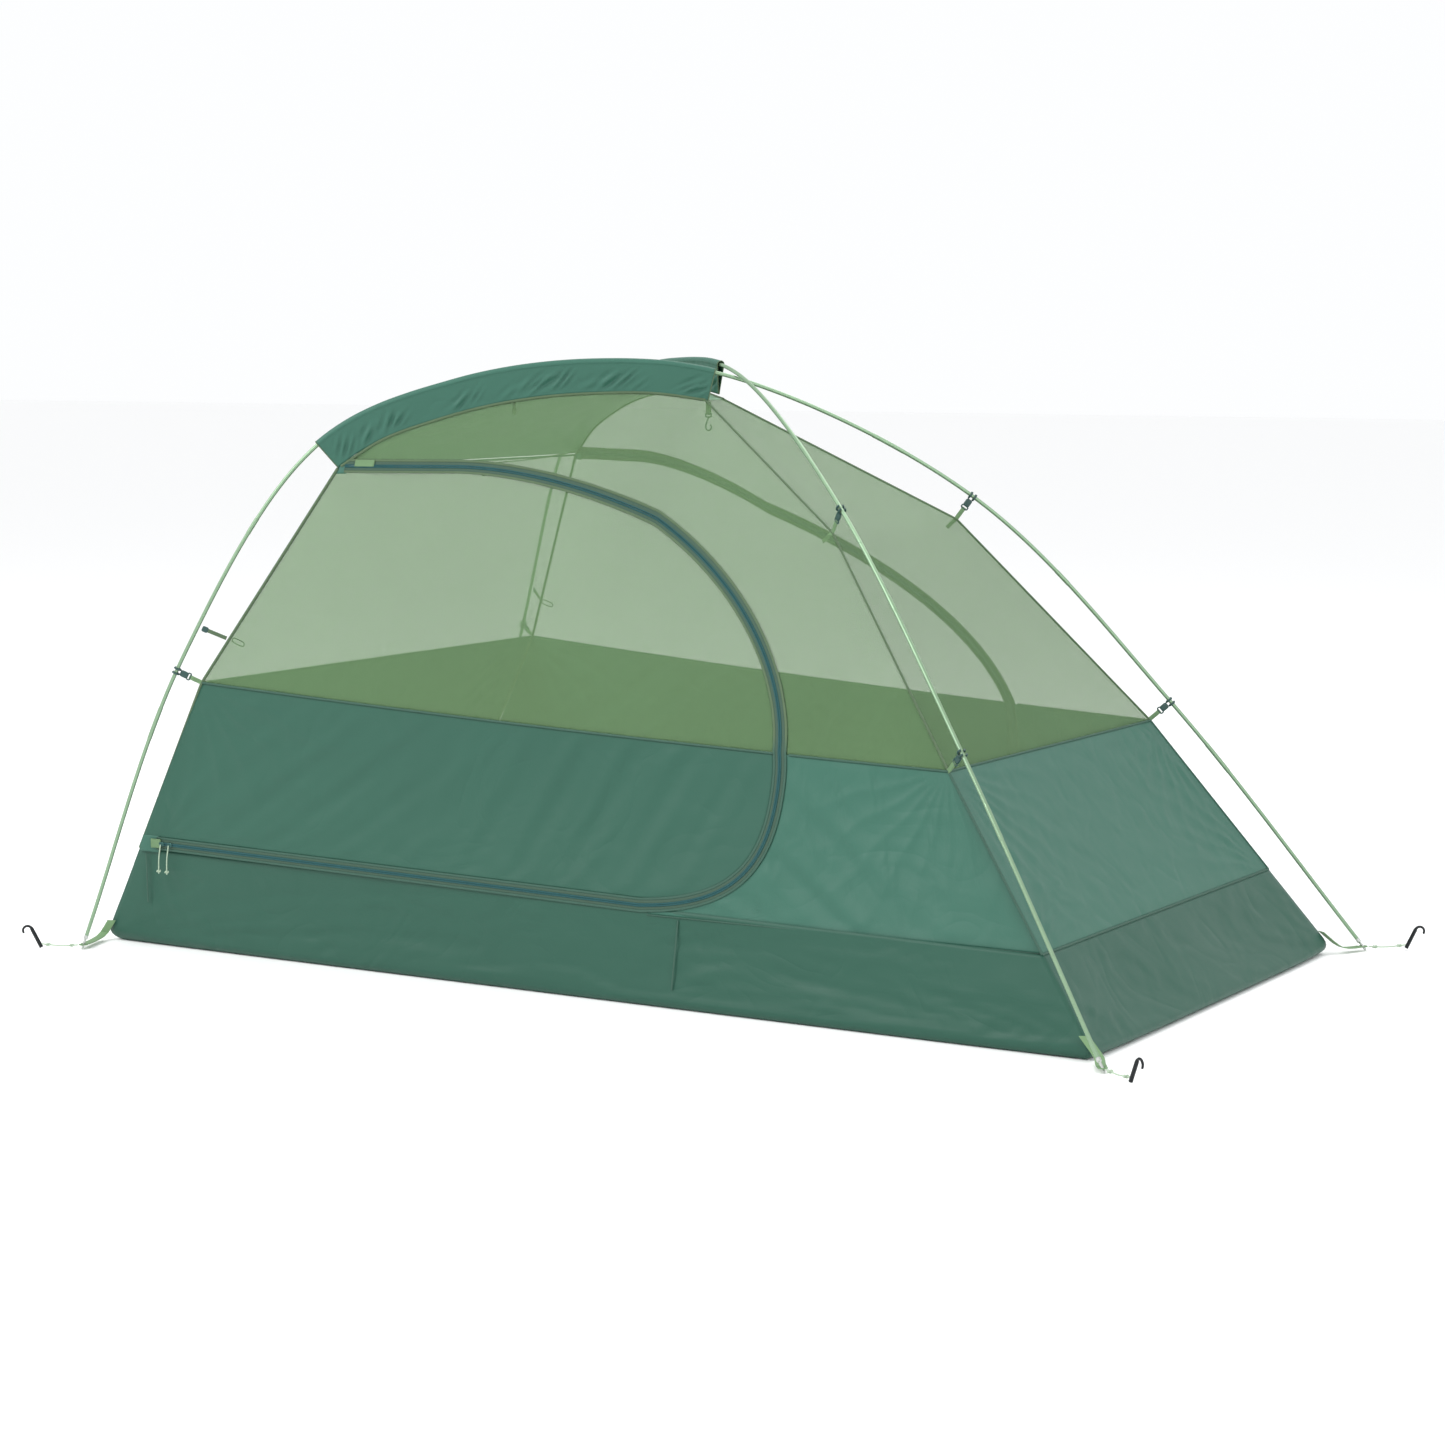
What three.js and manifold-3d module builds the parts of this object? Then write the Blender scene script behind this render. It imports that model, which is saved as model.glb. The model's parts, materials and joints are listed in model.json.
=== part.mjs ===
// Backpacking tent inner, pitched on two crossing poles: a bathtub floor, cloth lower walls,
// mesh upper walls with a D-shaped door on each long side, and sleeves, clips, webbing and
// stakes that hold it to the poles. Millimetres, +X to the foot end, -Y to the front door,
// +Z up. The origin is on the ground, midway between the pole feet.

import * as THREE from 'three';
import { mergeVertices } from 'three/addons/utils/BufferGeometryUtils.js';
import Module from 'manifold-3d';

const wasm = await Module();
wasm.setup();

// ---------------------------------------------------------------- driving dimensions

// Poles
const footSpan = 2200; // between the pole feet, along the tent
const footPoleWidth = 1252; // between the pole feet, across the foot end
const headPoleWidth = 1358; // between the pole feet, across the head end
const peakHeight = 1163; // pole centre line at its highest
const poleDiameter = 8.6;
const poleWall = 0.7;
const poleBore = poleDiameter - 2 * poleWall;
const poleOverlapGap = 0.6; // half the gap between the poles where they cross
const sectionsPerPole = 4;
const sectionGap = 0.4;

// Bathtub floor
const headCornerOut = 30; // floor corner beyond the head pole feet, along the tent
const headCornerIn = 103; // floor corner inside the head pole feet, across
const footCornerIn = 41; // floor corner inside the foot pole feet, along
const footCornerAcross = 62; // floor corner inside the foot pole feet, across
const rimFootHeight = 165; // floor cloth rises this far at the foot end
const rimHeadHeight = 196; // and this far at the head end
const clothThickness = 1.4;
const seamGap = 3; // between cloth panels that are sewn edge to edge

// Canopy hung from the poles
const sleeveDepth = 60; // ridge seam below the pole
const clipReach = 55; // canopy corner below the pole at a clip
const headClipHeight = 562;
const footLowerClipHeight = 493;
const footUpperClipDrop = 264; // below the highest point of the poles
const sleeveEndDrop = 160; // where the pole leaves its sleeve at the head end, below its top
const sleeveMouth = 36; // from the crossing to where the pole enters its sleeve, along the tent
const sleeveEase = 4.4; // the sleeve's tunnel is this much wider than the pole
const sleeveBore = poleDiameter + sleeveEase;
const sleeveWall = 1.2;

// Door zip, front and rear
const zipBand = 26; // width of the two tapes and the coil between them
const zipTopRun = 225; // level stretch at the top, from the head corner
const zipTopLift = 5; // level stretch above the head corner of the canopy
const zipFootInset = 320; // from the foot corner of the lower wall to the zip's farthest point
const zipTurn = 261; // along the tent, from that farthest point back to the bottom run
const zipWidestHeight = 420; // height of that farthest point
const zipBottomHeight = 181; // height of the bottom run at its foot end
const zipBottomRise = 28; // how much higher the bottom run is at the head end
const zipEndGap = 42; // from the head corner seam to the start of the bottom run
const doorGap = 1.2; // between the zip band and the panels beside it
const doorHingeInset = 14; // door panels start this far from the head corner seam
const lowerWallSet = 40; // lower wall starts this far past the zip's bottom run

// Zip sliders and their cord pulls
const sliderLength = 12;
const sliderWidth = 9;
const sliderHeight = 5;
const sliderPitch = 20;
const sliderSetback = 14; // first slider from the start of the bottom run
const sliderClearance = 0.6; // slider above the zip band
const pullCord = 2.4;
const pullLength = 58;
const pullStandOff = 15; // lower end of the pull, out from the wall
const pullBow = 2.5; // how far the pull bows outwards

// Pole clips
const clipEase = 1; // the clip's bore is this much wider than the pole
const clipBore = poleDiameter + clipEase;
const clipWall = 4.2;
const clipMouth = 0.62; // half angle of the clip's opening, radians
const clipWidth = 13;
const clipStem = 7;
const clipStemLength = 26; // from the pole's centre
const clipWebbing = 1.4;

// Pole tips, corner webbing, stakes
const tipLength = 30;
const tipDiameter = 5;
const shankEase = poleDiameter * 0.093; // the tip's shank is this much narrower than the pole's bore
const tipShank = poleBore - shankEase;
const tipShankLength = 14;
const tipCollar = 7;
const tipCone = 2; // from the collar down to the foot's diameter
const webbingWidth = 18;
const webbingThickness = 1.5;
const webbingRise = 42; // how far the webbing is sewn up the corner
const webbingStandOff = 6;
const webbingFold = 10; // fold of the webbing, out from the floor corner
const eyeletHeight = 8;
const eyeletEase = 4.6; // the eyelet's bore is this much wider than the pole tip
const eyeletBore = tipDiameter + eyeletEase;
const eyeletRim = 4.2;
const eyeletOuter = eyeletBore + 2 * eyeletRim;
const stakeDiameter = 4.6;
const stakeShow = 56; // length above the ground
const stakeLean = 26; // degrees from upright, away from the tent
const stakeHook = 9; // radius of the hook
const stakeDistance = 78; // from the pole tip
const stakeSpread = 34; // degrees that the stake cords turn out from the tent's length
const stakeCord = 2.8;
const stakeCordHeight = 11;
const stakeCordDip = 4; // how far the cord dips between the eyelet and the stake
const cordGap = 2; // from the end of a cord to the piece it is tied to

// Gear hook under the peak and door toggles
const hookStrapWidth = 8;
const hookStrapDrop = 26;
const hookStrapThickness = 1.3;
const hookThickness = 3;
const hookEase = 1; // between the hook's faces and the strap
const hookSetback = 18; // strap from the foot end of the ridge seams, along the tent
const hookSeamDrop = 6; // top of the strap below the roof
const hookEyeWidth = 16;
const hookEyeHeight = 11;
const hookRadius = 8;
const hookBar = 3; // thickness of the eye's bars and of the hook
const hookDrop = 24; // from the eye to the middle of the hook
const toggleLength = 52;
const toggleHeight = 622; // where its strap leaves the head corner seam
const toggleStrap = 8;
const toggleBar = 12; // length of the wide end
const toggleBarWidth = 12.8;
const toggleThickness = 2.4;
const toggleRise = 26; // degrees that the toggle points up
const toggleTurn = 37; // degrees that the toggle turns out from the tent's length

// ---------------------------------------------------------------- colours

const colours = {
  cloth: 0x5b8577,
  floorCloth: 0x49706a,
  mesh: 0x9cb490,
  zip: 0x5f8076,
  pole: 0x9cbb9a,
  metal: 0xb9bdb8,
  clip: 0x2f5551,
  webbing: 0x8ca582,
  cord: 0xa9b8a6,
  stake: 0x2b3032,
};

// ---------------------------------------------------------------- making solids

const vec = (x, y, z) => new THREE.Vector3(x, y, z);
const up = vec(0, 0, 1);
const mix = (a, b, t) => a.clone().lerp(b, t);

// Merges shared corners and turns the faces outwards.
function closedBody(geometry) {
  const bare = geometry.clone();
  bare.deleteAttribute('normal');
  bare.deleteAttribute('uv');
  const body = mergeVertices(bare, 1e-3);
  const points = body.attributes.position;
  const corners = body.index.array;
  let volume = 0;
  for (let i = 0; i < corners.length; i += 3) {
    const [a, b, c] = [...corners.slice(i, i + 3)]
      .map((corner) => vec(0, 0, 0).fromBufferAttribute(points, corner));
    volume += a.dot(b.cross(c));
  }
  if (volume < 0) corners.reverse();
  return body;
}

function toSolid(geometry) {
  const body = closedBody(geometry);
  return new wasm.Manifold(new wasm.Mesh({
    numProp: 3,
    vertProperties: new Float32Array(body.attributes.position.array),
    triVerts: new Uint32Array(body.index.array),
  }));
}

function toGeometry(solid) {
  const mesh = solid.getMesh();
  const geometry = new THREE.BufferGeometry();
  geometry.setAttribute('position', new THREE.BufferAttribute(mesh.vertProperties, 3));
  geometry.setIndex(new THREE.BufferAttribute(mesh.triVerts, 1));
  return geometry;
}

// Moves every corner of a geometry to place(corner).
function mapped(geometry, place) {
  const points = geometry.attributes.position;
  for (let i = 0; i < points.count; i += 1) {
    const moved = place(vec(0, 0, 0).fromBufferAttribute(points, i));
    points.setXYZ(i, moved.x, moved.y, moved.z);
  }
  return geometry;
}

// A thin cloth panel over surface(u, v), with its thickness laid off along one direction.
// Both faces of the box are split along the same diagonals, so that they stay parallel.
function clothPanel(surface, direction, columns, rows) {
  const box = new THREE.BoxGeometry(1, 1, 1, columns, rows, 1);
  const back = box.groups[5];
  const corners = box.index.array;
  for (let i = back.start; i < back.start + back.count; i += 6) {
    const [a, b, d, , c] = corners.slice(i, i + 5);
    corners.set([a, b, c, a, c, d], i);
  }
  return mapped(box, (p) => (
    surface(p.x + 0.5, p.y + 0.5).addScaledVector(direction, p.z * clothThickness)
  ));
}

// A solid that runs through the front half of the tent, with an outline drawn in x and z.
function frontPrism(outline) {
  const shape = new THREE.Shape(outline);
  const prism = new THREE.ExtrudeGeometry(shape, { depth: footPoleWidth, bevelEnabled: false });
  return toSolid(prism.rotateX(Math.PI / 2));
}

// Carries a flat section along frameAt(t), t from 0 to 1: section x goes sideways, y upwards.
function swept(section, frameAt, steps, sides = 8) {
  const straight = new THREE.ExtrudeGeometry(section, {
    depth: 1, steps, bevelEnabled: false, curveSegments: sides / 2,
  });
  return mapped(straight, (p) => {
    const { centre, side, rise } = frameAt(p.z);
    return centre.clone().addScaledVector(side, p.x).addScaledVector(rise, p.y);
  });
}

// A round tube or rod along a curve of three.js.
function rod(curve, diameter, steps, sides = 8) {
  const section = new THREE.Shape().absarc(0, 0, diameter / 2, 0, Math.PI * 2);
  return new THREE.ExtrudeGeometry(section, {
    steps, bevelEnabled: false, extrudePath: curve, curveSegments: sides / 2,
  });
}

const mirrored = (geometry) => geometry.clone().scale(1, -1, 1);

const tent = new THREE.Group();

function addPart(name, geometry, colour, roughness, metalness = 0) {
  const finish = new THREE.MeshStandardMaterial({ color: colour, roughness, metalness });
  const part = new THREE.Mesh(closedBody(geometry), finish);
  part.name = name;
  tent.add(part);
}

// The same piece on the front side and on the rear side.
function addPair(name, geometry, colour, roughness, metalness) {
  addPart(`${name}_front`, geometry, colour, roughness, metalness);
  addPart(`${name}_rear`, mirrored(geometry), colour, roughness, metalness);
}

// ---------------------------------------------------------------- the bent poles

// Each pole bends over the tent from a foot-end corner to the opposite head-end corner. The
// stations give its shape as shares of half the span, of the half widths and of the height.
const poleStations = [
  [1, 1, 0],
  [0.682, 0.735, 0.418],
  [0.364, 0.432, 0.771],
  [0.014, 0, 0.977],
  [-0.182, -0.203, 1],
  [-0.409, -0.434, 0.966],
  [-0.614, -0.648, 0.862],
  [-0.818, -0.872, 0.502],
  [-1, -1, 0],
];
const crossingStation = 3;

function poleCurve(across, lift) {
  const points = poleStations.map(([along, share, height], i) => {
    const halfWidth = (share > 0 ? footPoleWidth : headPoleWidth) / 2;
    const raise = i === crossingStation ? lift : 0;
    return vec(along * footSpan / 2, across * share * halfWidth, height * peakHeight + raise);
  });
  return new THREE.CatmullRomCurve3(points, false, 'centripetal');
}

// At the crossing, one pole lies on the other. The canopy is cut to the line between them.
const crossingLift = poleDiameter / 2 + poleOverlapGap;
const poleA = poleCurve(-1, crossingLift); // front foot corner to rear head corner
const poleB = poleCurve(1, -crossingLift); // rear foot corner to front head corner
const middlePole = poleCurve(1, 0); // rear foot corner to front head corner

// Across a pole: side is level, rise is square to the pole and points away from the tent.
function poleFrame(curve, t) {
  const along = curve.getTangentAt(t);
  const side = along.clone().cross(up).normalize();
  return { centre: curve.getPointAt(t), along, side, rise: side.clone().cross(along) };
}

// The place along a curve where inside(point) changes from true to false.
function placeWhere(curve, low, high, inside) {
  let [a, b] = [low, high];
  for (let i = 0; i < 40; i += 1) {
    const t = (a + b) / 2;
    if (inside(curve.getPointAt(t))) a = t;
    else b = t;
  }
  return (a + b) / 2;
}

const poleTop = 0.55; // a place near the highest point, between both flanks
const footUpperClipHeight = peakHeight - footUpperClipDrop;
const sleeveEndHeight = peakHeight - sleeveEndDrop;
const footPlace = (curve, height) => placeWhere(curve, 0, poleTop, (p) => p.z < height);
const headPlace = (curve, height) => placeWhere(curve, poleTop, 1, (p) => p.z > height);
const mouthPlace = (curve) => placeWhere(curve, 0, poleTop, (p) => (
  p.x > poleStations[crossingStation][0] * footSpan / 2 - sleeveMouth
));

// A point of the canopy, held below the pole at place t. Its y is given as a half width.
function hungPoint(t, reach) {
  const { centre, rise } = poleFrame(middlePole, t);
  const point = centre.addScaledVector(rise, -reach);
  return vec(point.x, Math.abs(point.y), point.z);
}

function poleTube(curve, from, to) {
  const section = new THREE.Shape().absarc(0, 0, poleDiameter / 2, 0, Math.PI * 2);
  section.holes.push(new THREE.Path().absarc(0, 0, poleBore / 2, 0, Math.PI * 2));
  return swept(section, (t) => poleFrame(curve, from + (to - from) * t), 14);
}

function poleSections(name, curve) {
  const length = curve.getLength();
  const first = tipLength / length;
  const share = (1 - 2 * first) / sectionsPerPole;
  for (let i = 0; i < sectionsPerPole; i += 1) {
    const from = first + share * i + sectionGap / length;
    const to = first + share * (i + 1);
    addPart(`${name}_section_${i + 1}`, poleTube(curve, from, to), colours.pole, 0.35, 0.6);
  }
}
poleSections('pole_a', poleA);
poleSections('pole_b', poleB);

// Turned metal tip: a rounded foot, a collar and a shank inside the last section.
function poleTip(curve, atHead) {
  const place = tipLength / curve.getLength();
  const { centre, along } = poleFrame(curve, atHead ? 1 - place : place);
  const outwards = atHead ? along : along.negate();
  const foot = tipDiameter / 2;
  const collar = poleDiameter / 2;
  const reach = tipLength - foot - 1;
  const shankEnd = sectionGap * 0.75;
  const profile = [
    [0, -tipShankLength], [tipShank / 2, -tipShankLength], [tipShank / 2, shankEnd],
    [collar, shankEnd], [collar, tipCollar], [foot, tipCollar + tipCone], [foot, reach],
    [foot * 0.6, reach + foot * 0.8], [0, reach + foot],
  ].map(([radius, y]) => new THREE.Vector2(radius, y));
  const turned = new THREE.LatheGeometry(profile, 12);
  turned.applyQuaternion(new THREE.Quaternion().setFromUnitVectors(vec(0, 1, 0), outwards));
  return turned.translate(centre.x, centre.y, centre.z);
}
addPart('pole_tip_foot_front', poleTip(poleA, false), colours.metal, 0.3, 1);
addPart('pole_tip_head_rear', poleTip(poleA, true), colours.metal, 0.3, 1);
addPart('pole_tip_foot_rear', poleTip(poleB, false), colours.metal, 0.3, 1);
addPart('pole_tip_head_front', poleTip(poleB, true), colours.metal, 0.3, 1);

// ---------------------------------------------------------------- canopy corners

const footTip = vec(footSpan / 2, footPoleWidth / 2, 0);
const headTip = vec(-footSpan / 2, headPoleWidth / 2, 0);
const floorFoot = vec(footTip.x - footCornerIn, footTip.y - footCornerAcross, 0);
const floorHead = vec(headTip.x - headCornerOut, headTip.y - headCornerIn, 0);
const tubFoot = hungPoint(footPlace(middlePole, footLowerClipHeight), clipReach);
const tubHead = hungPoint(headPlace(middlePole, headClipHeight), clipReach);
const canopyFoot = hungPoint(footPlace(middlePole, footUpperClipHeight), clipReach);

// The ridge seam joins a sleeve to the roof and to the wall below it.
const ridgeSteps = 7;
const ridgeStart = headPlace(middlePole, sleeveEndHeight);
const ridgeEnd = mouthPlace(middlePole);
const ridge = Array.from({ length: ridgeSteps + 1 }, (_, i) => (
  hungPoint(ridgeStart + (ridgeEnd - ridgeStart) * i / ridgeSteps, sleeveDepth)
));
const canopyHead = ridge[0];
const canopyPeak = ridge[ridgeSteps];

// Half width and height of a line of points at a given x, level beyond its ends.
function lineAt(points, x) {
  const last = points.length - 1;
  let i = points.findIndex((p) => p.x > x);
  if (i === 0) return points[0];
  if (i < 0) i = last;
  const [a, b] = [points[i - 1], points[i]];
  return mix(a, b, Math.min(1, (x - a.x) / (b.x - a.x)));
}
const straightLine = (a, b, x) => mix(a, b, (x - a.x) / (b.x - a.x));
const upperEdge = [tubHead, ...ridge, canopyFoot, tubFoot];

// ---------------------------------------------------------------- bathtub floor

// The corner seam of the lower walls at height z.
const cornerAt = (floorCorner, tubCorner, z) => mix(floorCorner, tubCorner, z / tubCorner.z);

// A block between the corner seams, drawn in by inset and standing from base to top.
function floorBlock(inset, base, top) {
  return toSolid(mapped(new THREE.BoxGeometry(1, 1, 1), (p) => {
    const z = p.z > 0 ? top : base;
    const corner = p.x > 0 ? cornerAt(floorFoot, tubFoot, z) : cornerAt(floorHead, tubHead, z);
    const x = corner.x - Math.sign(p.x) * inset;
    return vec(x, Math.sign(p.y) * (corner.y - inset), z);
  }));
}

// The rim's level stretch ends under the foot end of the zip's bottom run.
const rimBend = tubFoot.x - zipFootInset - zipTurn;
const rimLip = 4; // rim below the bottom run of the zip, at the head corner

function bathtubFloor() {
  const tall = rimHeadHeight + clothThickness;
  const tray = floorBlock(0, 0, tall).subtract(floorBlock(clothThickness, clothThickness, tall + 1));
  const trim = new THREE.Shape([
    new THREE.Vector2(-footSpan, rimHeadHeight),
    new THREE.Vector2(tubHead.x, rimHeadHeight - rimLip),
    new THREE.Vector2(rimBend, rimFootHeight), new THREE.Vector2(footSpan, rimFootHeight),
    new THREE.Vector2(footSpan, tall * 2), new THREE.Vector2(-footSpan, tall * 2),
  ]);
  const reach = headPoleWidth;
  const cutter = new THREE.ExtrudeGeometry(trim, { depth: reach, bevelEnabled: false });
  const cut = tray.subtract(toSolid(cutter.rotateX(Math.PI / 2).translate(0, reach / 2, 0)));
  const frontHalf = cut.intersect(frontPrism([
    new THREE.Vector2(-footSpan, -tall), new THREE.Vector2(footSpan, -tall),
    new THREE.Vector2(footSpan, tall * 2), new THREE.Vector2(-footSpan, tall * 2),
  ]));
  return toGeometry(frontHalf.add(toSolid(mirrored(toGeometry(frontHalf)))));
}
addPart('bathtub_floor', bathtubFloor(), colours.floorCloth, 0.6);

// ---------------------------------------------------------------- long walls and doors

// Half width of the long walls at x and z: straight from the floor edge to the top of the
// lower wall, then straight on to the seam under the sleeve or to the foot corner seam.
function wallHalfWidth(x, z) {
  const low = straightLine(floorHead, floorFoot, x);
  const middle = straightLine(tubHead, tubFoot, x);
  const high = lineAt(upperEdge, x);
  if (z <= middle.z || high.z < middle.z + 2) return low.y + (middle.y - low.y) * z / middle.z;
  return middle.y + (high.y - middle.y) * (z - middle.z) / (high.z - middle.z);
}

// The front wall as one thin slab, with a row of corners along the top of the lower wall.
const slabMargin = 40; // past every edge that the slab is cut to
const slabBottom = rimFootHeight - slabMargin / 2;
function wallSurface(u, v) {
  const x = floorHead.x + (floorFoot.x - floorHead.x) * u;
  const middle = straightLine(tubHead, tubFoot, x).z;
  const top = Math.max(lineAt(upperEdge, x).z, middle) + slabMargin;
  const z = v < 0.5
    ? slabBottom + (middle - slabBottom) * v * 2
    : middle + (top - middle) * (v * 2 - 1);
  return vec(x, -wallHalfWidth(x, z), z);
}
const wallSlab = toSolid(clothPanel(wallSurface, vec(0, -1, 0), 26, 8));

// The zip's centre line in x and z: along the top, down round the foot side, and back along
// the bottom to the head corner.
const zipTop = new THREE.Vector2(canopyHead.x + doorHingeInset, canopyHead.z + zipTopLift);
const zipTopEnd = new THREE.Vector2(canopyHead.x + zipTopRun, zipTop.y);
const zipWidest = new THREE.Vector2(tubFoot.x - zipFootInset, zipWidestHeight);
const headSeamAt = (z) => cornerAt(floorHead, tubHead, z);
const zipStartHeight = zipBottomHeight + zipBottomRise;
const zipStart = new THREE.Vector2(headSeamAt(zipStartHeight).x + zipEndGap, zipStartHeight);
const zipBottomEnd = new THREE.Vector2(rimBend, zipBottomHeight);

function zipLine() {
  const width = zipWidest.x - zipTopEnd.x;
  const height = zipTop.y - zipWidest.y;
  const shoulder = new THREE.CubicBezierCurve(
    zipTopEnd,
    new THREE.Vector2(zipTopEnd.x + width * 0.35, zipTop.y - height * 0.01),
    new THREE.Vector2(zipWidest.x, zipWidest.y + height * 0.56),
    zipWidest,
  );
  const drop = zipWidest.y - zipBottomEnd.y;
  const turn = new THREE.CubicBezierCurve(
    zipWidest,
    new THREE.Vector2(zipWidest.x, zipWidest.y - drop * 0.62),
    new THREE.Vector2(zipWidest.x - drop * 0.25, zipBottomEnd.y + drop * 0.05),
    zipBottomEnd,
  );
  return [zipTop, ...shoulder.getPoints(18), ...turn.getPoints(12).slice(1), zipStart];
}
const zipPoints = zipLine();

// The zip line moved outwards from the door by a distance.
function zipOffset(distance) {
  return zipPoints.map((point, i) => {
    const before = zipPoints[Math.max(0, i - 1)];
    const after = zipPoints[Math.min(zipPoints.length - 1, i + 1)];
    const along = after.clone().sub(before).normalize();
    return new THREE.Vector2(point.x - along.y * distance, point.y + along.x * distance);
  });
}

const farEnd = footSpan;
const doorHole = (margin) => {
  const edge = zipOffset(zipBand / 2 + margin);
  return frontPrism([
    new THREE.Vector2(-farEnd, edge[0].y), ...edge,
    new THREE.Vector2(-farEnd, edge[edge.length - 1].y),
  ]);
};
const flat = (p, dx, dz) => new THREE.Vector2(p.x + dx, p.z + dz);
const halfSeam = seamGap / 2;

const lowerWallStart = rimBend + lowerWallSet;
const lowerSide = frontPrism([
  new THREE.Vector2(lowerWallStart, rimFootHeight + halfSeam),
  flat(cornerAt(floorFoot, tubFoot, rimFootHeight), -seamGap, halfSeam),
  flat(tubFoot, -seamGap, -halfSeam),
  new THREE.Vector2(lowerWallStart, straightLine(tubHead, tubFoot, lowerWallStart).z - halfSeam),
]);
const upperSide = frontPrism([
  flat(tubHead, seamGap * 3, halfSeam), flat(canopyHead, seamGap * 3, 0),
  ...ridge.slice(1).map((p) => flat(p, 0, -seamGap * 2)),
  flat(canopyFoot, -seamGap, -seamGap), flat(tubFoot, -seamGap * 3, halfSeam),
]);
const doorEdge = zipOffset(-zipBand / 2 - doorGap);
const doorSide = frontPrism([
  new THREE.Vector2(canopyHead.x + doorHingeInset, doorEdge[0].y), ...doorEdge.slice(1),
  new THREE.Vector2(headSeamAt(doorEdge[doorEdge.length - 1].y).x + doorHingeInset,
    doorEdge[doorEdge.length - 1].y),
  flat(tubHead, doorHingeInset, 0),
]);
const bandSide = frontPrism([...zipOffset(zipBand / 2), ...zipOffset(-zipBand / 2).reverse()]);
const belowTub = frontPrism([
  new THREE.Vector2(-farEnd, 0), new THREE.Vector2(farEnd, 0),
  flat(straightLine(tubHead, tubFoot, farEnd), 0, -halfSeam),
  flat(straightLine(tubHead, tubFoot, -farEnd), 0, -halfSeam),
]);
const aboveTub = frontPrism([
  flat(straightLine(tubHead, tubFoot, -farEnd), 0, halfSeam),
  flat(straightLine(tubHead, tubFoot, farEnd), 0, halfSeam),
  new THREE.Vector2(farEnd, peakHeight * 2), new THREE.Vector2(-farEnd, peakHeight * 2),
]);

const hole = doorHole(doorGap);
const cutFrom = (...sides) => toGeometry(sides.reduce((a, b) => a.intersect(b), wallSlab));
addPair('lower_wall', toGeometry(wallSlab.intersect(lowerSide).subtract(hole)), colours.cloth, 0.6);
addPair('mesh_wall', toGeometry(wallSlab.intersect(upperSide).subtract(hole)), colours.mesh, 0.8);
addPair('door_cloth', cutFrom(doorSide, belowTub), colours.cloth, 0.6);
addPair('door_mesh', cutFrom(doorSide, aboveTub), colours.mesh, 0.8);
addPair('zip_band', cutFrom(bandSide), colours.zip, 0.5);

// ---------------------------------------------------------------- end walls and roof

// A panel that reaches across the tent between mirrored points of an edge line.
function crossPanel(edge, inset, direction, rows, columns = 4) {
  return clothPanel((u, v) => {
    const place = v * (edge.length - 1);
    const i = Math.min(edge.length - 2, Math.floor(place));
    const p = mix(edge[i], edge[i + 1], place - i);
    return vec(p.x, (p.y - inset) * (2 * u - 1), p.z);
  }, direction, columns, rows);
}

// Draws both ends of a line in by a distance, to leave room for its seams.
function shortened(points, distance) {
  const line = points.map((p) => p.clone());
  const last = line.length - 1;
  line[0].addScaledVector(line[1].clone().sub(line[0]).normalize(), distance);
  line[last].addScaledVector(line[last - 1].clone().sub(line[last]).normalize(), distance);
  return line;
}

const outFoot = vec(0.8, 0, 0.6);
const outHead = vec(-0.9, 0, 0.44);
const rimFoot = cornerAt(floorFoot, tubFoot, rimFootHeight);
const rimHead = cornerAt(floorHead, tubHead, rimHeadHeight);
addPart('lower_wall_foot', crossPanel(shortened([rimFoot, tubFoot], halfSeam), seamGap, outFoot, 1),
  colours.cloth, 0.6);
addPart('lower_wall_head', crossPanel(shortened([rimHead, tubHead], halfSeam), seamGap, outHead, 1),
  colours.cloth, 0.6);
addPart('mesh_wall_foot',
  crossPanel(shortened([tubFoot, canopyFoot, canopyPeak], halfSeam), seamGap * 2, outFoot, 2),
  colours.mesh, 0.8);
addPart('mesh_wall_head',
  crossPanel(shortened([tubHead, canopyHead], halfSeam), seamGap, outHead, 1), colours.mesh, 0.8);
addPart('roof_panel', crossPanel(shortened(ridge, seamGap * 2), seamGap * 2, up, ridgeSteps),
  colours.cloth, 0.7);

// A sleeve: a tunnel round the pole with a flat skirt down to the ridge seam.
function poleSleeve(curve) {
  const outer = sleeveBore / 2 + sleeveWall;
  const half = sleeveWall / 2;
  const neck = Math.asin(half / outer);
  const section = new THREE.Shape();
  section.absarc(0, 0, outer, -Math.PI / 2 + neck, Math.PI * 1.5 - neck);
  section.lineTo(-half, -sleeveDepth + seamGap * 4);
  section.lineTo(half, -sleeveDepth + seamGap * 4);
  section.holes.push(new THREE.Path().absarc(0, 0, sleeveBore / 2, 0, Math.PI * 2));
  const from = mouthPlace(curve);
  const to = headPlace(curve, sleeveEndHeight);
  return swept(section, (t) => poleFrame(curve, from + (to - from) * t), 14, 10);
}
addPart('pole_sleeve_front', poleSleeve(poleB), colours.cloth, 0.6);
addPart('pole_sleeve_rear', poleSleeve(poleA), colours.cloth, 0.6);

// ---------------------------------------------------------------- pole clips

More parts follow.
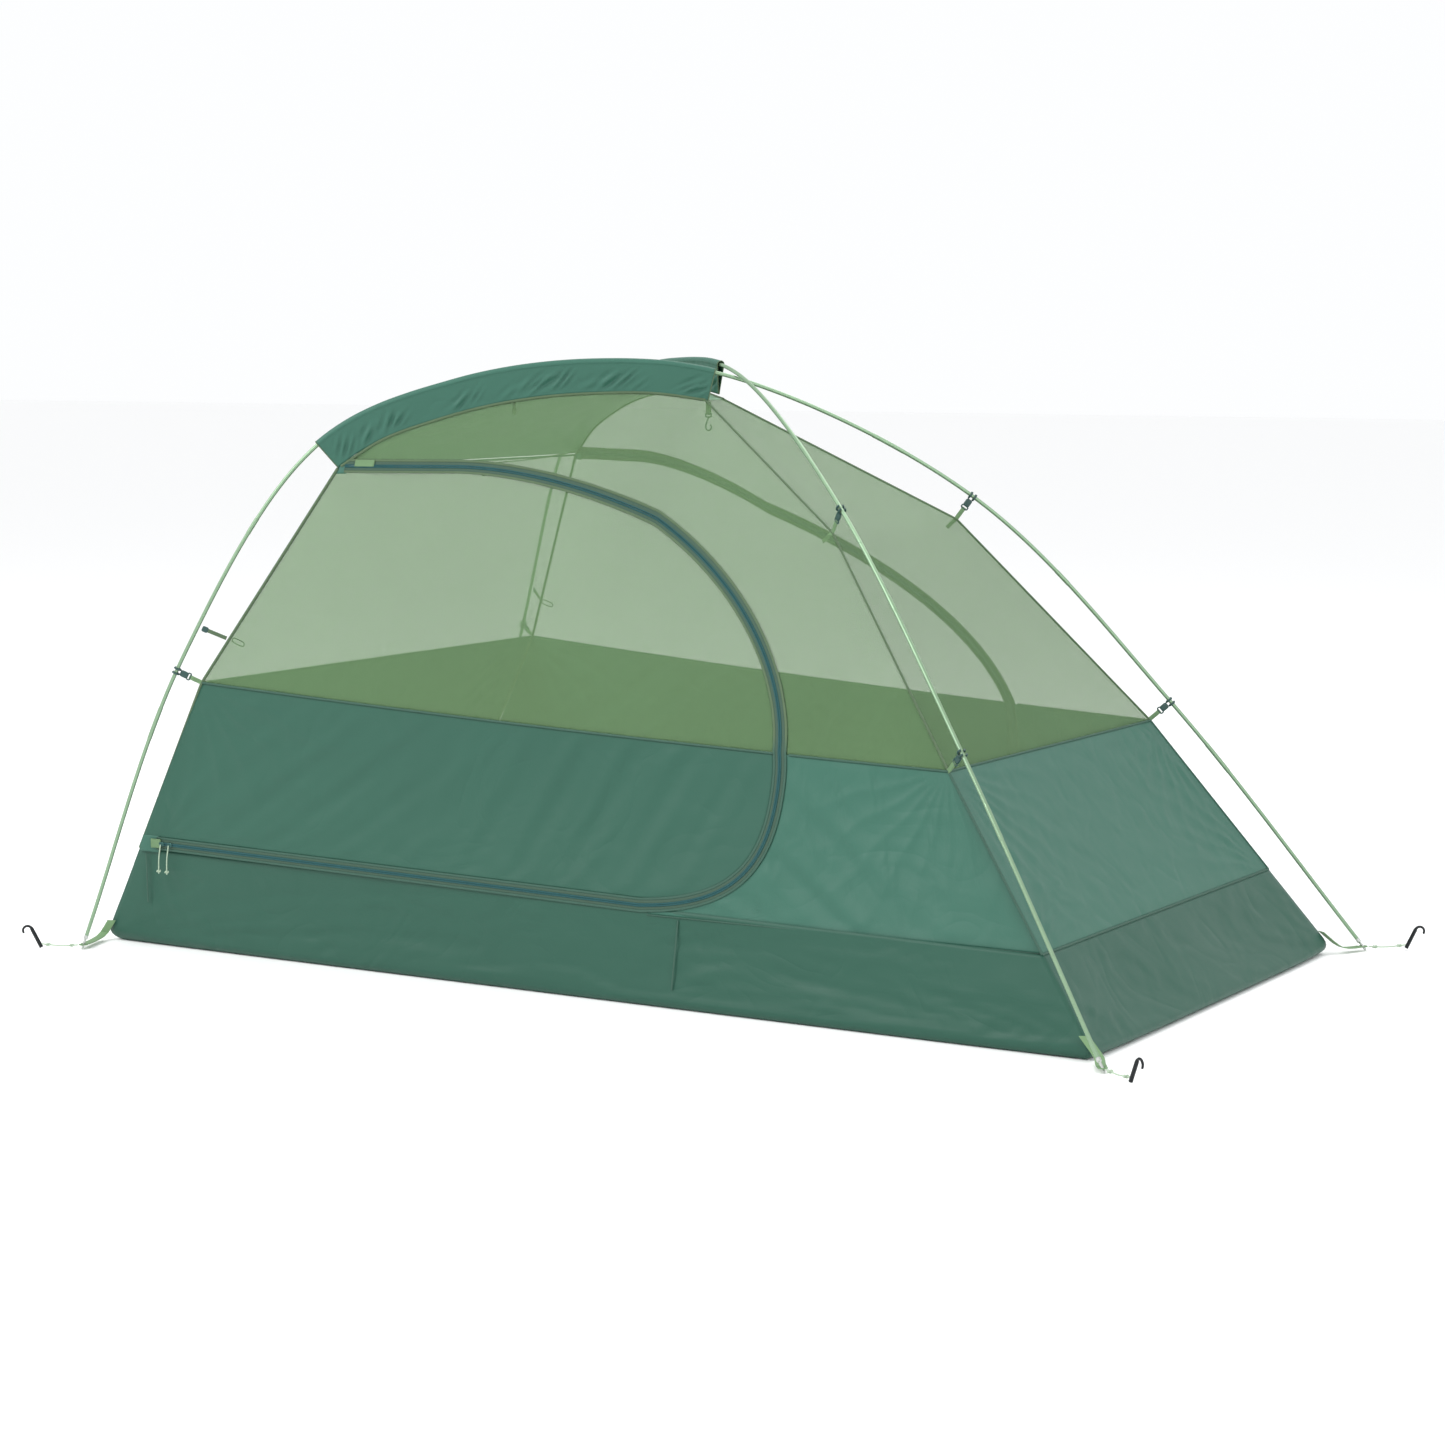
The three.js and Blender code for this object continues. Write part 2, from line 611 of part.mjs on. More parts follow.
// A C-shaped hook round the pole, its stem, and the webbing down to the canopy corner.
function poleClip(curve, t) {
  const bore = clipBore / 2;
  const outer = bore + clipWall;
  const mouth = clipMouth;
  const neck = Math.asin(clipStem / 2 / outer);
  const tabEnd = -clipReach + seamGap * 2;
  const section = new THREE.Shape();
  section.absarc(0, 0, outer, -Math.PI / 2 + neck, Math.PI / 2 - mouth);
  section.absarc(0, 0, bore, Math.PI / 2 - mouth, Math.PI / 2 + mouth - Math.PI * 2, true);
  section.absarc(0, 0, outer, Math.PI / 2 + mouth, Math.PI * 1.5 - neck);
  section.lineTo(-clipStem / 2, -clipStemLength);
  section.lineTo(-clipWebbing / 2, -clipStemLength);
  section.lineTo(-clipWebbing / 2, tabEnd);
  section.lineTo(clipWebbing / 2, tabEnd);
  section.lineTo(clipWebbing / 2, -clipStemLength);
  section.lineTo(clipStem / 2, -clipStemLength);
  const { centre, along, side, rise } = poleFrame(curve, t);
  return swept(section, (s) => (
    { centre: centre.clone().addScaledVector(along, (s - 0.5) * clipWidth), side, rise }
  ), 1, 16);
}

const clips = [
  ['pole_clip_foot_lower_front', poleA, footPlace(poleA, footLowerClipHeight)],
  ['pole_clip_foot_upper_front', poleA, footPlace(poleA, footUpperClipHeight)],
  ['pole_clip_foot_lower_rear', poleB, footPlace(poleB, footLowerClipHeight)],
  ['pole_clip_foot_upper_rear', poleB, footPlace(poleB, footUpperClipHeight)],
  ['pole_clip_head_front', poleB, headPlace(poleB, headClipHeight)],
  ['pole_clip_head_rear', poleA, headPlace(poleA, headClipHeight)],
];
clips.forEach(([name, curve, t]) => addPart(name, poleClip(curve, t), colours.clip, 0.45));

// ---------------------------------------------------------------- corner webbing and stakes

// Webbing sewn up the corner, folded out under the pole, with an eyelet round the pole tip.
function cornerWebbing(floorCorner, tubCorner, tip, poleSlope) {
  const out = vec(tip.x - floorCorner.x, tip.y - floorCorner.y, 0).normalize();
  const side = out.clone().cross(up);
  const sewn = cornerAt(floorCorner, tubCorner, webbingRise).addScaledVector(out, webbingStandOff);
  const fold = floorCorner.clone().addScaledVector(out, webbingFold).setZ(eyeletHeight * 1.6);
  const eye = tip.clone().addScaledVector(poleSlope, eyeletHeight).setZ(eyeletHeight);
  const end = eye.clone().addScaledVector(out, -eyeletOuter / 2 + eyeletRim / 4);
  const line = new THREE.CatmullRomCurve3([sewn, fold, mix(fold, end, 0.5).setZ(eyeletHeight), end],
    false, 'centripetal');
  const strip = new THREE.Shape([
    new THREE.Vector2(-webbingWidth / 2, 0), new THREE.Vector2(webbingWidth / 2, 0),
    new THREE.Vector2(webbingWidth / 2, webbingThickness),
    new THREE.Vector2(-webbingWidth / 2, webbingThickness),
  ]);
  const strap = swept(strip, (t) => {
    const rise = side.clone().cross(line.getTangentAt(t)).normalize();
    return { centre: line.getPointAt(t), side, rise };
  }, 8);
  const disc = new THREE.CylinderGeometry(eyeletOuter / 2, eyeletOuter / 2, webbingThickness, 20);
  const bore = new THREE.CylinderGeometry(eyeletBore / 2, eyeletBore / 2, eyeletHeight, 16);
  [disc, bore].forEach((shape) => shape.rotateX(Math.PI / 2));
  disc.translate(eye.x, eye.y, eye.z + webbingThickness / 2);
  bore.translate(eye.x, eye.y, eye.z + webbingThickness / 2);
  return toGeometry(toSolid(strap).add(toSolid(disc)).subtract(toSolid(bore)));
}

// Bent-wire stake: a shaft out of the ground with a hook at the top that faces away.
function stake(foot, out) {
  const lean = THREE.MathUtils.degToRad(stakeLean);
  const axis = out.clone().multiplyScalar(Math.sin(lean)).addScaledVector(up, Math.cos(lean));
  const across = out.clone().multiplyScalar(Math.cos(lean)).addScaledVector(up, -Math.sin(lean));
  const base = foot.clone().addScaledVector(axis, stakeDiameter);
  const bend = foot.clone().addScaledVector(axis, stakeShow - stakeHook);
  const arc = (angle) => bend.clone()
    .addScaledVector(across, stakeHook * (1 - Math.cos(angle)))
    .addScaledVector(axis, stakeHook * Math.sin(angle));
  const points = [base, mix(base, bend, 0.5), bend, ...[0.8, 1.6, 2.4, 3.3].map(arc)];
  return rod(new THREE.CatmullRomCurve3(points, false, 'centripetal'), stakeDiameter, 14);
}

// Cord from the eyelet to the stake, low over the ground.
function stakeLine(tip, foot, out) {
  const from = tip.clone().addScaledVector(out, eyeletOuter / 2 + cordGap).setZ(eyeletHeight);
  const lean = Math.tan(THREE.MathUtils.degToRad(stakeLean)) * stakeCordHeight;
  const to = foot.clone().addScaledVector(out, lean - stakeDiameter / 2 - cordGap).setZ(stakeCordHeight);
  const sag = mix(from, to, 0.5).setZ(stakeCordHeight - stakeCordDip);
  return rod(new THREE.CatmullRomCurve3([from, sag, to], false, 'centripetal'), stakeCord, 10, 8);
}

const spread = THREE.MathUtils.degToRad(stakeSpread);
const corners = [
  ['foot', floorFoot, tubFoot, footTip, footPlace(middlePole, eyeletHeight)],
  ['head', floorHead, tubHead, headTip, headPlace(middlePole, eyeletHeight)],
];
corners.forEach(([name, floorCorner, tubCorner, tip, t]) => {
  const crossed = middlePole.getPointAt(t);
  const inwards = vec(crossed.x, Math.abs(crossed.y), crossed.z).sub(tip).divideScalar(crossed.z);
  const out = vec(Math.sign(tip.x) * Math.cos(spread), Math.sin(spread), 0);
  const foot = tip.clone().addScaledVector(out, stakeDistance);
  const eye = tip.clone().addScaledVector(inwards, eyeletHeight);
  addPair(`corner_webbing_${name}`, cornerWebbing(floorCorner, tubCorner, tip, inwards)
    .scale(1, -1, 1), colours.webbing, 0.8);
  addPair(`stake_${name}`, stake(foot, out).scale(1, -1, 1), colours.stake, 0.4, 0.7);
  addPair(`stake_cord_${name}`, stakeLine(eye, foot, out).scale(1, -1, 1), colours.cord, 0.8);
});

// ---------------------------------------------------------------- zip sliders and pulls

// The bottom run of the zip on the front wall, from the head corner towards the foot end.
const onWall = (p) => vec(p.x, -wallHalfWidth(p.x, p.y), p.y);
const runStart = onWall(zipStart);
const runEnd = onWall(zipBottomEnd);
const runAlong = runEnd.clone().sub(runStart).normalize();
const runOut = runAlong.clone().cross(up).normalize();
const runUp = runOut.clone().cross(runAlong);

function slider(distance) {
  const out = clothThickness / 2 + sliderClearance + sliderHeight / 2;
  const centre = runStart.clone().addScaledVector(runAlong, distance).addScaledVector(runOut, out);
  const outline = new THREE.Shape([
    new THREE.Vector2(-sliderLength / 2, -sliderWidth * 0.3),
    new THREE.Vector2(-sliderLength * 0.2, -sliderWidth / 2),
    new THREE.Vector2(sliderLength / 2, -sliderWidth / 2),
    new THREE.Vector2(sliderLength / 2, sliderWidth / 2),
    new THREE.Vector2(-sliderLength * 0.2, sliderWidth / 2),
    new THREE.Vector2(-sliderLength / 2, sliderWidth * 0.3),
  ]);
  const body = new THREE.ExtrudeGeometry(outline, { depth: sliderHeight, bevelEnabled: false });
  return mapped(body, (p) => centre.clone().addScaledVector(runAlong, p.x)
    .addScaledVector(runUp, p.y).addScaledVector(runOut, p.z - sliderHeight / 2));
}

function zipPull(distance) {
  const out = clothThickness / 2 + sliderClearance + sliderHeight + pullCord * 0.67;
  const top = runStart.clone().addScaledVector(runAlong, distance).addScaledVector(runOut, out);
  const low = top.clone().addScaledVector(runOut, pullStandOff - out).addScaledVector(up, -pullLength);
  const bend = mix(top, low, 0.45).addScaledVector(runOut, pullBow);
  const path = new THREE.CatmullRomCurve3([top, bend, low], false, 'centripetal');
  return rod(path, pullCord, 10, 8);
}

[1, 2].forEach((number) => {
  const distance = sliderSetback + sliderPitch * (number - 1);
  addPair(`zip_slider_${number}`, slider(distance), colours.clip, 0.4, 0.3);
  addPair(`zip_pull_${number}`, zipPull(distance), colours.cord, 0.8);
});

// ---------------------------------------------------------------- gear hook and toggles

const hookPlace = canopyPeak.x - hookSetback;
const hookCentre = vec(hookPlace, 0, lineAt(ridge, hookPlace).z - hookSeamDrop);

function rectangle(width, height, centre = 0) {
  return [[-1, -1], [1, -1], [1, 1], [-1, 1]].map(([x, y]) => (
    new THREE.Vector2(x * width / 2, centre + y * height / 2)
  ));
}

// Strap loop sewn under the peak.
function hookStrap() {
  const inside = hookThickness + 2 * hookEase;
  const wall = 2 * hookStrapThickness;
  const loop = new THREE.Shape(rectangle(inside + wall, hookStrapDrop));
  loop.holes.push(new THREE.Path(rectangle(inside, hookStrapDrop - wall)));
  const band = new THREE.ExtrudeGeometry(loop, { depth: hookStrapWidth, bevelEnabled: false });
  band.rotateX(Math.PI / 2).rotateZ(Math.PI / 2);
  return band.translate(hookCentre.x - hookStrapWidth / 2, 0, hookCentre.z - hookStrapDrop / 2);
}
addPart('gear_hook_strap', hookStrap(), colours.webbing, 0.8);

// Moulded hook: a square eye on the strap, a shank and an open hook.
const eyeTop = hookCentre.z - hookStrapDrop + hookStrapThickness + hookEase + hookBar;
const eyeCentre = eyeTop - hookEyeHeight / 2;
function gearHook() {
  const eye = new THREE.Shape(rectangle(hookEyeWidth, hookEyeHeight));
  eye.holes.push(new THREE.Path(rectangle(hookEyeWidth - 2 * hookBar, hookEyeHeight - 2 * hookBar)));
  const hook = new THREE.Shape();
  hook.absarc(0, -hookDrop, hookRadius, -Math.PI, Math.PI * 0.25);
  hook.absarc(0, -hookDrop, hookRadius - hookBar, Math.PI * 0.25, -Math.PI, true);
  const joined = hookBar / 3; // how far the shank runs into the hook and the eye
  const shank = new THREE.Shape([
    new THREE.Vector2(-hookRadius, -hookDrop - joined),
    new THREE.Vector2(hookBar - hookRadius, -hookDrop - joined),
    new THREE.Vector2(hookBar / 2, joined - hookEyeHeight / 2),
    new THREE.Vector2(-hookBar / 2, joined - hookEyeHeight / 2),
  ]);
  const solids = [eye, hook, shank].map((shape) => toSolid(
    new THREE.ExtrudeGeometry(shape, { depth: hookThickness, bevelEnabled: false, curveSegments: 10 }),
  ));
  const whole = toGeometry(solids.reduce((a, b) => a.add(b)));
  whole.rotateX(Math.PI / 2);
  return whole.translate(hookCentre.x, hookThickness / 2, eyeCentre);
}
addPart('gear_hook', gearHook(), colours.clip, 0.4);

// Toggle that holds the rolled-up door: a strap with an eye and a bar at its end.
function doorToggle() {
  const seam = mix(tubHead, canopyHead, (toggleHeight - tubHead.z) / (canopyHead.z - tubHead.z));
  const [turn, climb] = [toggleTurn, toggleRise].map(THREE.MathUtils.degToRad);
  const out = vec(-Math.cos(turn), -Math.sin(turn), 0);
  const root = vec(seam.x, -seam.y, seam.z).addScaledVector(out, seamGap * 2);
  const half = toggleStrap / 2;
  const wide = toggleBarWidth / 2;
  const neck = toggleLength - toggleBar;
  const lowerHalf = [[0, -half], [neck - toggleThickness, -half], [neck, -wide], [toggleLength, -wide]];
  const upperHalf = lowerHalf.map(([x, y]) => [x, -y]).reverse();
  const outline = new THREE.Shape(lowerHalf.concat(upperHalf).map(([x, y]) => new THREE.Vector2(x, y)));
  const plate = new THREE.ExtrudeGeometry(outline, { depth: toggleThickness, bevelEnabled: false });
  const along = out.clone().multiplyScalar(Math.cos(climb)).addScaledVector(up, Math.sin(climb));
  const side = out.clone().cross(up).normalize();
  const rise = side.clone().cross(along);
  return mapped(plate, (p) => root.clone().addScaledVector(along, p.x)
    .addScaledVector(rise, p.y).addScaledVector(side, p.z - toggleThickness / 2));
}
addPair('door_toggle', doorToggle(), colours.clip, 0.5);

export default tent;
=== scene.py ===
import json
import math

import bmesh
import bpy
import numpy as np
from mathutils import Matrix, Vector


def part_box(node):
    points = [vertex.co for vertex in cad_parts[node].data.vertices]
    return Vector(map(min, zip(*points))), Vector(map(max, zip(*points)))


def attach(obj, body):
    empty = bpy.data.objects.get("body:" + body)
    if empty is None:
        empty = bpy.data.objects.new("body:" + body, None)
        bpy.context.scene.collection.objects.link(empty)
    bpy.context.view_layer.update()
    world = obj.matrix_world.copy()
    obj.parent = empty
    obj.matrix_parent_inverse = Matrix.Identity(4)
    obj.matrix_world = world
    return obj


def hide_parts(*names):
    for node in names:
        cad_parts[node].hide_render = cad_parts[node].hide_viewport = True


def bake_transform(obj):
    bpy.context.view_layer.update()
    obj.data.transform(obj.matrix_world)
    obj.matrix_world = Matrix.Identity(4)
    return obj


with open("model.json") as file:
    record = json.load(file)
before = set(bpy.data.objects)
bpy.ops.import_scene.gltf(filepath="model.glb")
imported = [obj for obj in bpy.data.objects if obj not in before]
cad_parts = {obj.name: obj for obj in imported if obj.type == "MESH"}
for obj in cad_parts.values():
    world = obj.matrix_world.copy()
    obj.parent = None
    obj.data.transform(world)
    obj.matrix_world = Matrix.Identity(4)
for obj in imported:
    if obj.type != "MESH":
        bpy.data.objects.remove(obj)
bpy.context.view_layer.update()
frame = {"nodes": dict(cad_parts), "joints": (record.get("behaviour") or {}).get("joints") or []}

# ---------------------------------------------------------------- camera
# The tent is seen from the front, turned towards its foot end, from a little above eye level
# of someone who crouches about six metres away.

camera = bpy.data.objects.new("camera", bpy.data.cameras.new("camera"))
bpy.context.scene.collection.objects.link(camera)
bpy.context.scene.camera = camera
camera.location = (3.2484, -5.4141, 1.2145)
camera.rotation_euler = (math.radians(90 - 6.877), 0, math.radians(31.10))
camera.data.sensor_width = 36
camera.data.lens = 79.94

# ---------------------------------------------------------------- stake cords
# Thin braided cords that run low over the ground from the corner eyelets to the stakes, each
# with a knot at both ends. The route's points are the ones that the solid cords follow.

STAKE_CORD_ROUTES = {
    "foot": [(1.10337, 0.62943, 0.008), (1.13446, 0.64982, 0.007), (1.16555, 0.67021, 0.011)],
    "head": [(-1.10638, 0.68397, 0.008), (-1.13597, 0.70359, 0.007), (-1.16555, 0.72321, 0.011)],
}
STAKE_CORD_WIDTH = 0.0028
SIDES = {"front": -1, "rear": 1}


def linear(*eight_bit):
    """A colour of three 0 to 255 display values, as the linear values that shaders take."""
    c = np.array(eight_bit, float) / 255
    rgb = np.where(c <= 0.04045, c / 12.92, ((c + 0.055) / 1.055) ** 2.4)
    return (*rgb, 1.0)


def run_of(line):
    """The distance along a line at each of its points."""
    return np.concatenate([[0], np.cumsum(np.linalg.norm(np.diff(line, axis=0), axis=1))])


def points_at(line, places):
    """Points of a line, straight between its own points, at distances along it."""
    run = run_of(line)
    return np.stack([np.interp(places, run, column) for column in line.T], axis=1)


def unit(vectors):
    """A vector, or each row of an array, brought to a length of one."""
    return vectors / np.linalg.norm(vectors, axis=-1, keepdims=True)


def smooth_line(points, count):
    """A cubic curve through the points: on each span, the Hermite form of its two ends and of
    the slopes there, each slope being that of the chord between the neighbours."""
    p = np.asarray(points, float)
    s = run_of(p)
    slope = np.gradient(p, s, axis=0)
    t = np.linspace(0, s[-1], count)
    i = np.clip(np.searchsorted(s, t, side="right") - 1, 0, len(p) - 2)
    h = (s[i + 1] - s[i])[:, None]
    u = ((t - s[i])[:, None]) / h
    return ((2 * u**3 - 3 * u**2 + 1) * p[i] + (u**3 - 2 * u**2 + u) * h * slope[i]
            + (3 * u**2 - 2 * u**3) * p[i + 1] + (u**3 - u**2) * h * slope[i + 1])


def along_frames(line):
    """At each point of a line: its direction, the level direction across it, and the one that
    is square to both."""
    tangent = unit(np.gradient(line, axis=0))
    side = np.cross(tangent, (0, 0, 1.0))
    side[np.linalg.norm(side, axis=1) < 1e-6] = (0, 1.0, 0)
    side = unit(side)
    return tangent, side, np.cross(side, tangent)


def grid_piece(name, grid, wrap=False, capped=False, thickness=0.0, body="root"):
    """A mesh of quads over a grid of points (rows, columns, xyz). wrap joins the last column to
    the first, capped closes the first and last rows, thickness makes a thin closed shell. The
    UV map holds lengths along the rows and columns, in metres."""
    rows, columns = grid.shape[:2]
    index = np.arange(rows * columns).reshape(rows, columns)
    right = np.roll(index, -1, axis=1) if wrap else index[:, 1:]
    left = index if wrap else index[:, :-1]
    quads = np.stack([left[:-1], right[:-1], right[1:], left[1:]], axis=-1).reshape(-1, 4)
    faces = quads.tolist()
    if capped:
        faces += [index[0, ::-1].tolist(), index[-1].tolist()]
    mesh = bpy.data.meshes.new(name)
    mesh.from_pydata(grid.reshape(-1, 3).tolist(), [], faces)
    across = np.linalg.norm(np.diff(grid, axis=1), axis=2).mean(axis=0)
    down = np.linalg.norm(np.diff(grid, axis=0), axis=2).mean(axis=1)
    u = np.concatenate([[0], np.cumsum(across)])
    v = np.concatenate([[0], np.cumsum(down)])
    place = np.stack(np.broadcast_arrays(u[None, :], v[:, None]), axis=-1).reshape(-1, 2)
    corner = np.empty(len(mesh.loops), int)
    mesh.loops.foreach_get("vertex_index", corner)
    mesh.uv_layers.new(name="UVMap").data.foreach_set("uv", place[corner].ravel())
    if capped:
        work = bmesh.new()
        work.from_mesh(mesh)
        bmesh.ops.recalc_face_normals(work, faces=work.faces)
        work.to_mesh(mesh)
        work.free()
    mesh.polygons.foreach_set("use_smooth", [True] * len(mesh.polygons))
    if capped:
        mesh.set_sharp_from_angle(angle=math.radians(50))
    piece = bpy.data.objects.new(name, mesh)
    bpy.context.scene.collection.objects.link(piece)
    if thickness:
        shell = piece.modifiers.new("thickness", "SOLIDIFY")
        shell.thickness = thickness
        shell.offset = 0
    if body:
        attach(piece, body)
    return piece


def rings_along(line, radius, sides, side, rise, flat=1.0):
    """Points of a round section carried along a line, a row for each point of the line."""
    angle = np.linspace(0, 2 * np.pi, sides, endpoint=False)
    r = np.broadcast_to(radius, len(line))[:, None, None]
    return line[:, None] + r * (np.cos(angle)[None, :, None] * side[:, None]
                                + flat * np.sin(angle)[None, :, None] * rise[:, None])


def tube(name, line, radius, sides=12, body="root", frames=None, flat=1.0):
    """A round section carried along a line. radius is one number or one for each point, and
    flat is the share of it that is kept along the second of the frames' directions."""
    side, rise = frames if frames else along_frames(line)[1:]
    grid = rings_along(line, radius, sides, side, rise, flat)
    return grid_piece(name, grid, wrap=True, capped=True, body=body)


def knot(name, centre, radius, body="root"):
    """An overhand knot: a tube along the closed curve (2 + cos 3t)(cos 2t, sin 2t), sin 3t."""
    t = np.linspace(0, 2 * np.pi, 60, endpoint=False)
    ring = 2 + np.cos(3 * t)
    curve = np.stack([ring * np.cos(2 * t), ring * np.sin(2 * t), 1.2 * np.sin(3 * t)], axis=1)
    curve = np.asarray(centre) + curve * radius / 3
    tangent = np.roll(curve, -1, axis=0) - np.roll(curve, 1, axis=0)
    side = unit(np.cross(tangent, curve - centre))
    grid = rings_along(curve, radius * 0.36, 8, side, unit(np.cross(side, tangent)))
    piece = grid_piece(name, np.concatenate([grid, grid[:1]]), wrap=True, body=None)
    work = bmesh.new()
    work.from_mesh(piece.data)
    bmesh.ops.remove_doubles(work, verts=work.verts, dist=1e-6)
    bmesh.ops.recalc_face_normals(work, faces=work.faces)
    work.to_mesh(piece.data)
    work.free()
    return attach(piece, body)


def fill(node, **values):
    """Sets some of a node's inputs, whose names have an underscore for each space."""
    for socket, value in values.items():
        node.inputs[socket.replace("_", " ")].default_value = value
    return node


def new_material(name, colour, roughness, metallic=0.0, **sockets):
    """A Principled material. Returns it with its nodes, links and shader."""
    material = bpy.data.materials.new(name)
    material.use_nodes = True
    tree = material.node_tree
    shader = fill(tree.nodes["Principled BSDF"], Base_Color=colour, Roughness=roughness,
                  Metallic=metallic, **sockets)
    return material, tree.nodes, tree.links, shader


def tint_group():
    """Shade that varies over a surface: noise of a given size moves a colour between a darker
    and a lighter version of itself."""
    group = bpy.data.node_groups.new("tint", "ShaderNodeTree")
    for name, kind in (("Vector", "NodeSocketVector"), ("Colour", "NodeSocketColor"),
                       ("Size", "NodeSocketFloat"), ("Amount", "NodeSocketFloat")):
        group.interface.new_socket(name, in_out="INPUT", socket_type=kind)
    group.interface.new_socket("Colour", in_out="OUTPUT", socket_type="NodeSocketColor")
    put_in, out = group.nodes.new("NodeGroupInput"), group.nodes.new("NodeGroupOutput")
    noise = fill(group.nodes.new("ShaderNodeTexNoise"), Detail=4)
    shift = group.nodes.new("ShaderNodeMath")
    shift.operation = "SUBTRACT"
    shift.inputs[1].default_value = 0.5
    scale = group.nodes.new("ShaderNodeMath")
    scale.operation = "MULTIPLY_ADD"
    scale.inputs[2].default_value = 1.0
    colour = group.nodes.new("ShaderNodeHueSaturation")
    link = group.links.new
    link(put_in.outputs["Vector"], noise.inputs["Vector"])
    link(put_in.outputs["Size"], noise.inputs["Scale"])
    link(noise.outputs["Fac"], shift.inputs[0])
    link(shift.outputs[0], scale.inputs[0])
    link(put_in.outputs["Amount"], scale.inputs[1])
    link(scale.outputs[0], colour.inputs["Value"])
    link(put_in.outputs["Colour"], colour.inputs["Color"])
    link(colour.outputs["Color"], out.inputs["Colour"])
    return group


def thread_group():
    """Height of a weave: two crossed waves of thread, and a heavier thread every few
    millimetres each way, as in ripstop cloth."""
    group = bpy.data.node_groups.new("threads", "ShaderNodeTree")
    for name, kind in (("Vector", "NodeSocketVector"), ("Fine", "NodeSocketFloat"),
                       ("Rib", "NodeSocketFloat"), ("Rib height", "NodeSocketFloat")):
        group.interface.new_socket(name, in_out="INPUT", socket_type=kind)
    group.interface.new_socket("Height", in_out="OUTPUT", socket_type="NodeSocketFloat")
    put_in, out = group.nodes.new("NodeGroupInput"), group.nodes.new("NodeGroupOutput")
    link = group.links.new

    def wave(direction, scale_socket, profile):
        node = group.nodes.new("ShaderNodeTexWave")
        node.bands_direction = direction
        node.wave_profile = profile
        link(put_in.outputs["Vector"], node.inputs["Vector"])
        link(put_in.outputs[scale_socket], node.inputs["Scale"])
        return node.outputs["Fac"]

    def combine(operation, a, b):
        node = group.nodes.new("ShaderNodeMath")
        node.operation = operation
        for socket, value in zip(node.inputs, (a, b)):
            if isinstance(value, (int, float)):
                socket.default_value = value
            else:
                link(value, socket)
        return node.outputs[0]

    fine = combine("MULTIPLY", wave("X", "Fine", "SIN"), wave("Y", "Fine", "SIN"))
    ribs = combine("MAXIMUM", wave("X", "Rib", "SIN"), wave("Y", "Rib", "SIN"))
    ribs = combine("POWER", ribs, 14.0)
    raised = combine("MULTIPLY", ribs, put_in.outputs["Rib height"])
    link(combine("ADD", fine, raised), out.inputs["Height"])
    return group


tint = tint_group()
threads = thread_group()


def tinted(name, colour, roughness, size, amount, metallic=0.0, **sockets):
    """A Principled material whose colour comes from the tint group. Returns it with its nodes,
    links, shader and texture coordinates."""
    material, nodes, links, shader = new_material(name, colour, roughness, metallic, **sockets)
    place = nodes.new("ShaderNodeTexCoord")
    shade = nodes.new("ShaderNodeGroup")
    shade.node_tree = tint
    fill(shade, Colour=colour, Size=size, Amount=amount)
    links.new(place.outputs["Object"], shade.inputs["Vector"])
    links.new(shade.outputs["Colour"], shader.inputs["Base Color"])
    return material, nodes, links, shader, place


def woven(name, colour, roughness, amount=0.12, size=7.0, fine=700.0, rib=0.0, rib_height=0.0,
          bump=0.15, distance=0.0003, **sockets):
    """A woven finish: tinted colour, and the thread group's height as bump."""
    material, nodes, links, shader, place = tinted(name, colour, roughness, size, amount, **sockets)
    weave = nodes.new("ShaderNodeGroup")
    weave.node_tree = threads
    fill(weave, Fine=fine, Rib=rib, Rib_height=rib_height)
    links.new(place.outputs["UV"], weave.inputs["Vector"])
    relief = fill(nodes.new("ShaderNodeBump"), Strength=bump, Distance=distance)
    links.new(weave.outputs["Height"], relief.inputs["Height"])
    links.new(relief.outputs["Normal"], shader.inputs["Normal"])
    return material


def finish_with(piece, material):
    """Gives a piece its material."""
    piece.data.materials.clear()
    piece.data.materials.append(material)
    return piece


braid = woven("braided cord", linear(176, 196, 172), 0.75, fine=900, bump=0.6, distance=0.0004)


def laid_cord(name, route, width, body, node, knots, knot_radius, **says):
    """A braided cord along a route, in place of a CAD node. knots gives the name of each knot
    and the point of the line that it is at."""
    line = smooth_line(route, 24)
    cord = tube(name, line, width / 2, 10, body)
    tied = [finish_with(knot(label, line[place], knot_radius, body), braid)
            for label, place in knots.items()]
    finish_with(cord, braid)
    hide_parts(node)


for end, route in STAKE_CORD_ROUTES.items():
    for side_name, sign in SIDES.items():
        name = f"{end}_{side_name}"
        laid_cord(f"stake_line_{name}", np.array(route) * (1, sign, 1), STAKE_CORD_WIDTH, "root",
                  f"stake_cord_{name}", {f"stake_line_knot_{name}_inner": 4,
                                         f"stake_line_knot_{name}_outer": -5},
                  0.0042, far_end="object", lay="taut")

# ---------------------------------------------------------------- zip pull cords
# A short braided cord looped through each slider, hanging in front of the wall and ending in a
# knot. The route's points are the ones that the solid pulls follow.

PULL_ROUTES = {
    1: [(-0.97112, -0.58579, 0.20865), (-0.97092, -0.59148, 0.18255), (-0.97087, -0.59288, 0.15065)],
    2: [(-0.95114, -0.58509, 0.20814), (-0.95094, -0.59077, 0.18204), (-0.95089, -0.59217, 0.15014)],
}
PULL_WIDTH = 0.0024
for number, route in PULL_ROUTES.items():
    for side_name, sign in SIDES.items():
        name = f"{number}_{side_name}"
        laid_cord(f"pull_cord_{name}", np.array(route) * (1, -sign, 1), PULL_WIDTH,
                  f"{side_name}_slider_{number}", f"zip_pull_{name}", {f"pull_knot_{name}": -3},
                  0.0036, far_end="knot", lay="hanging")

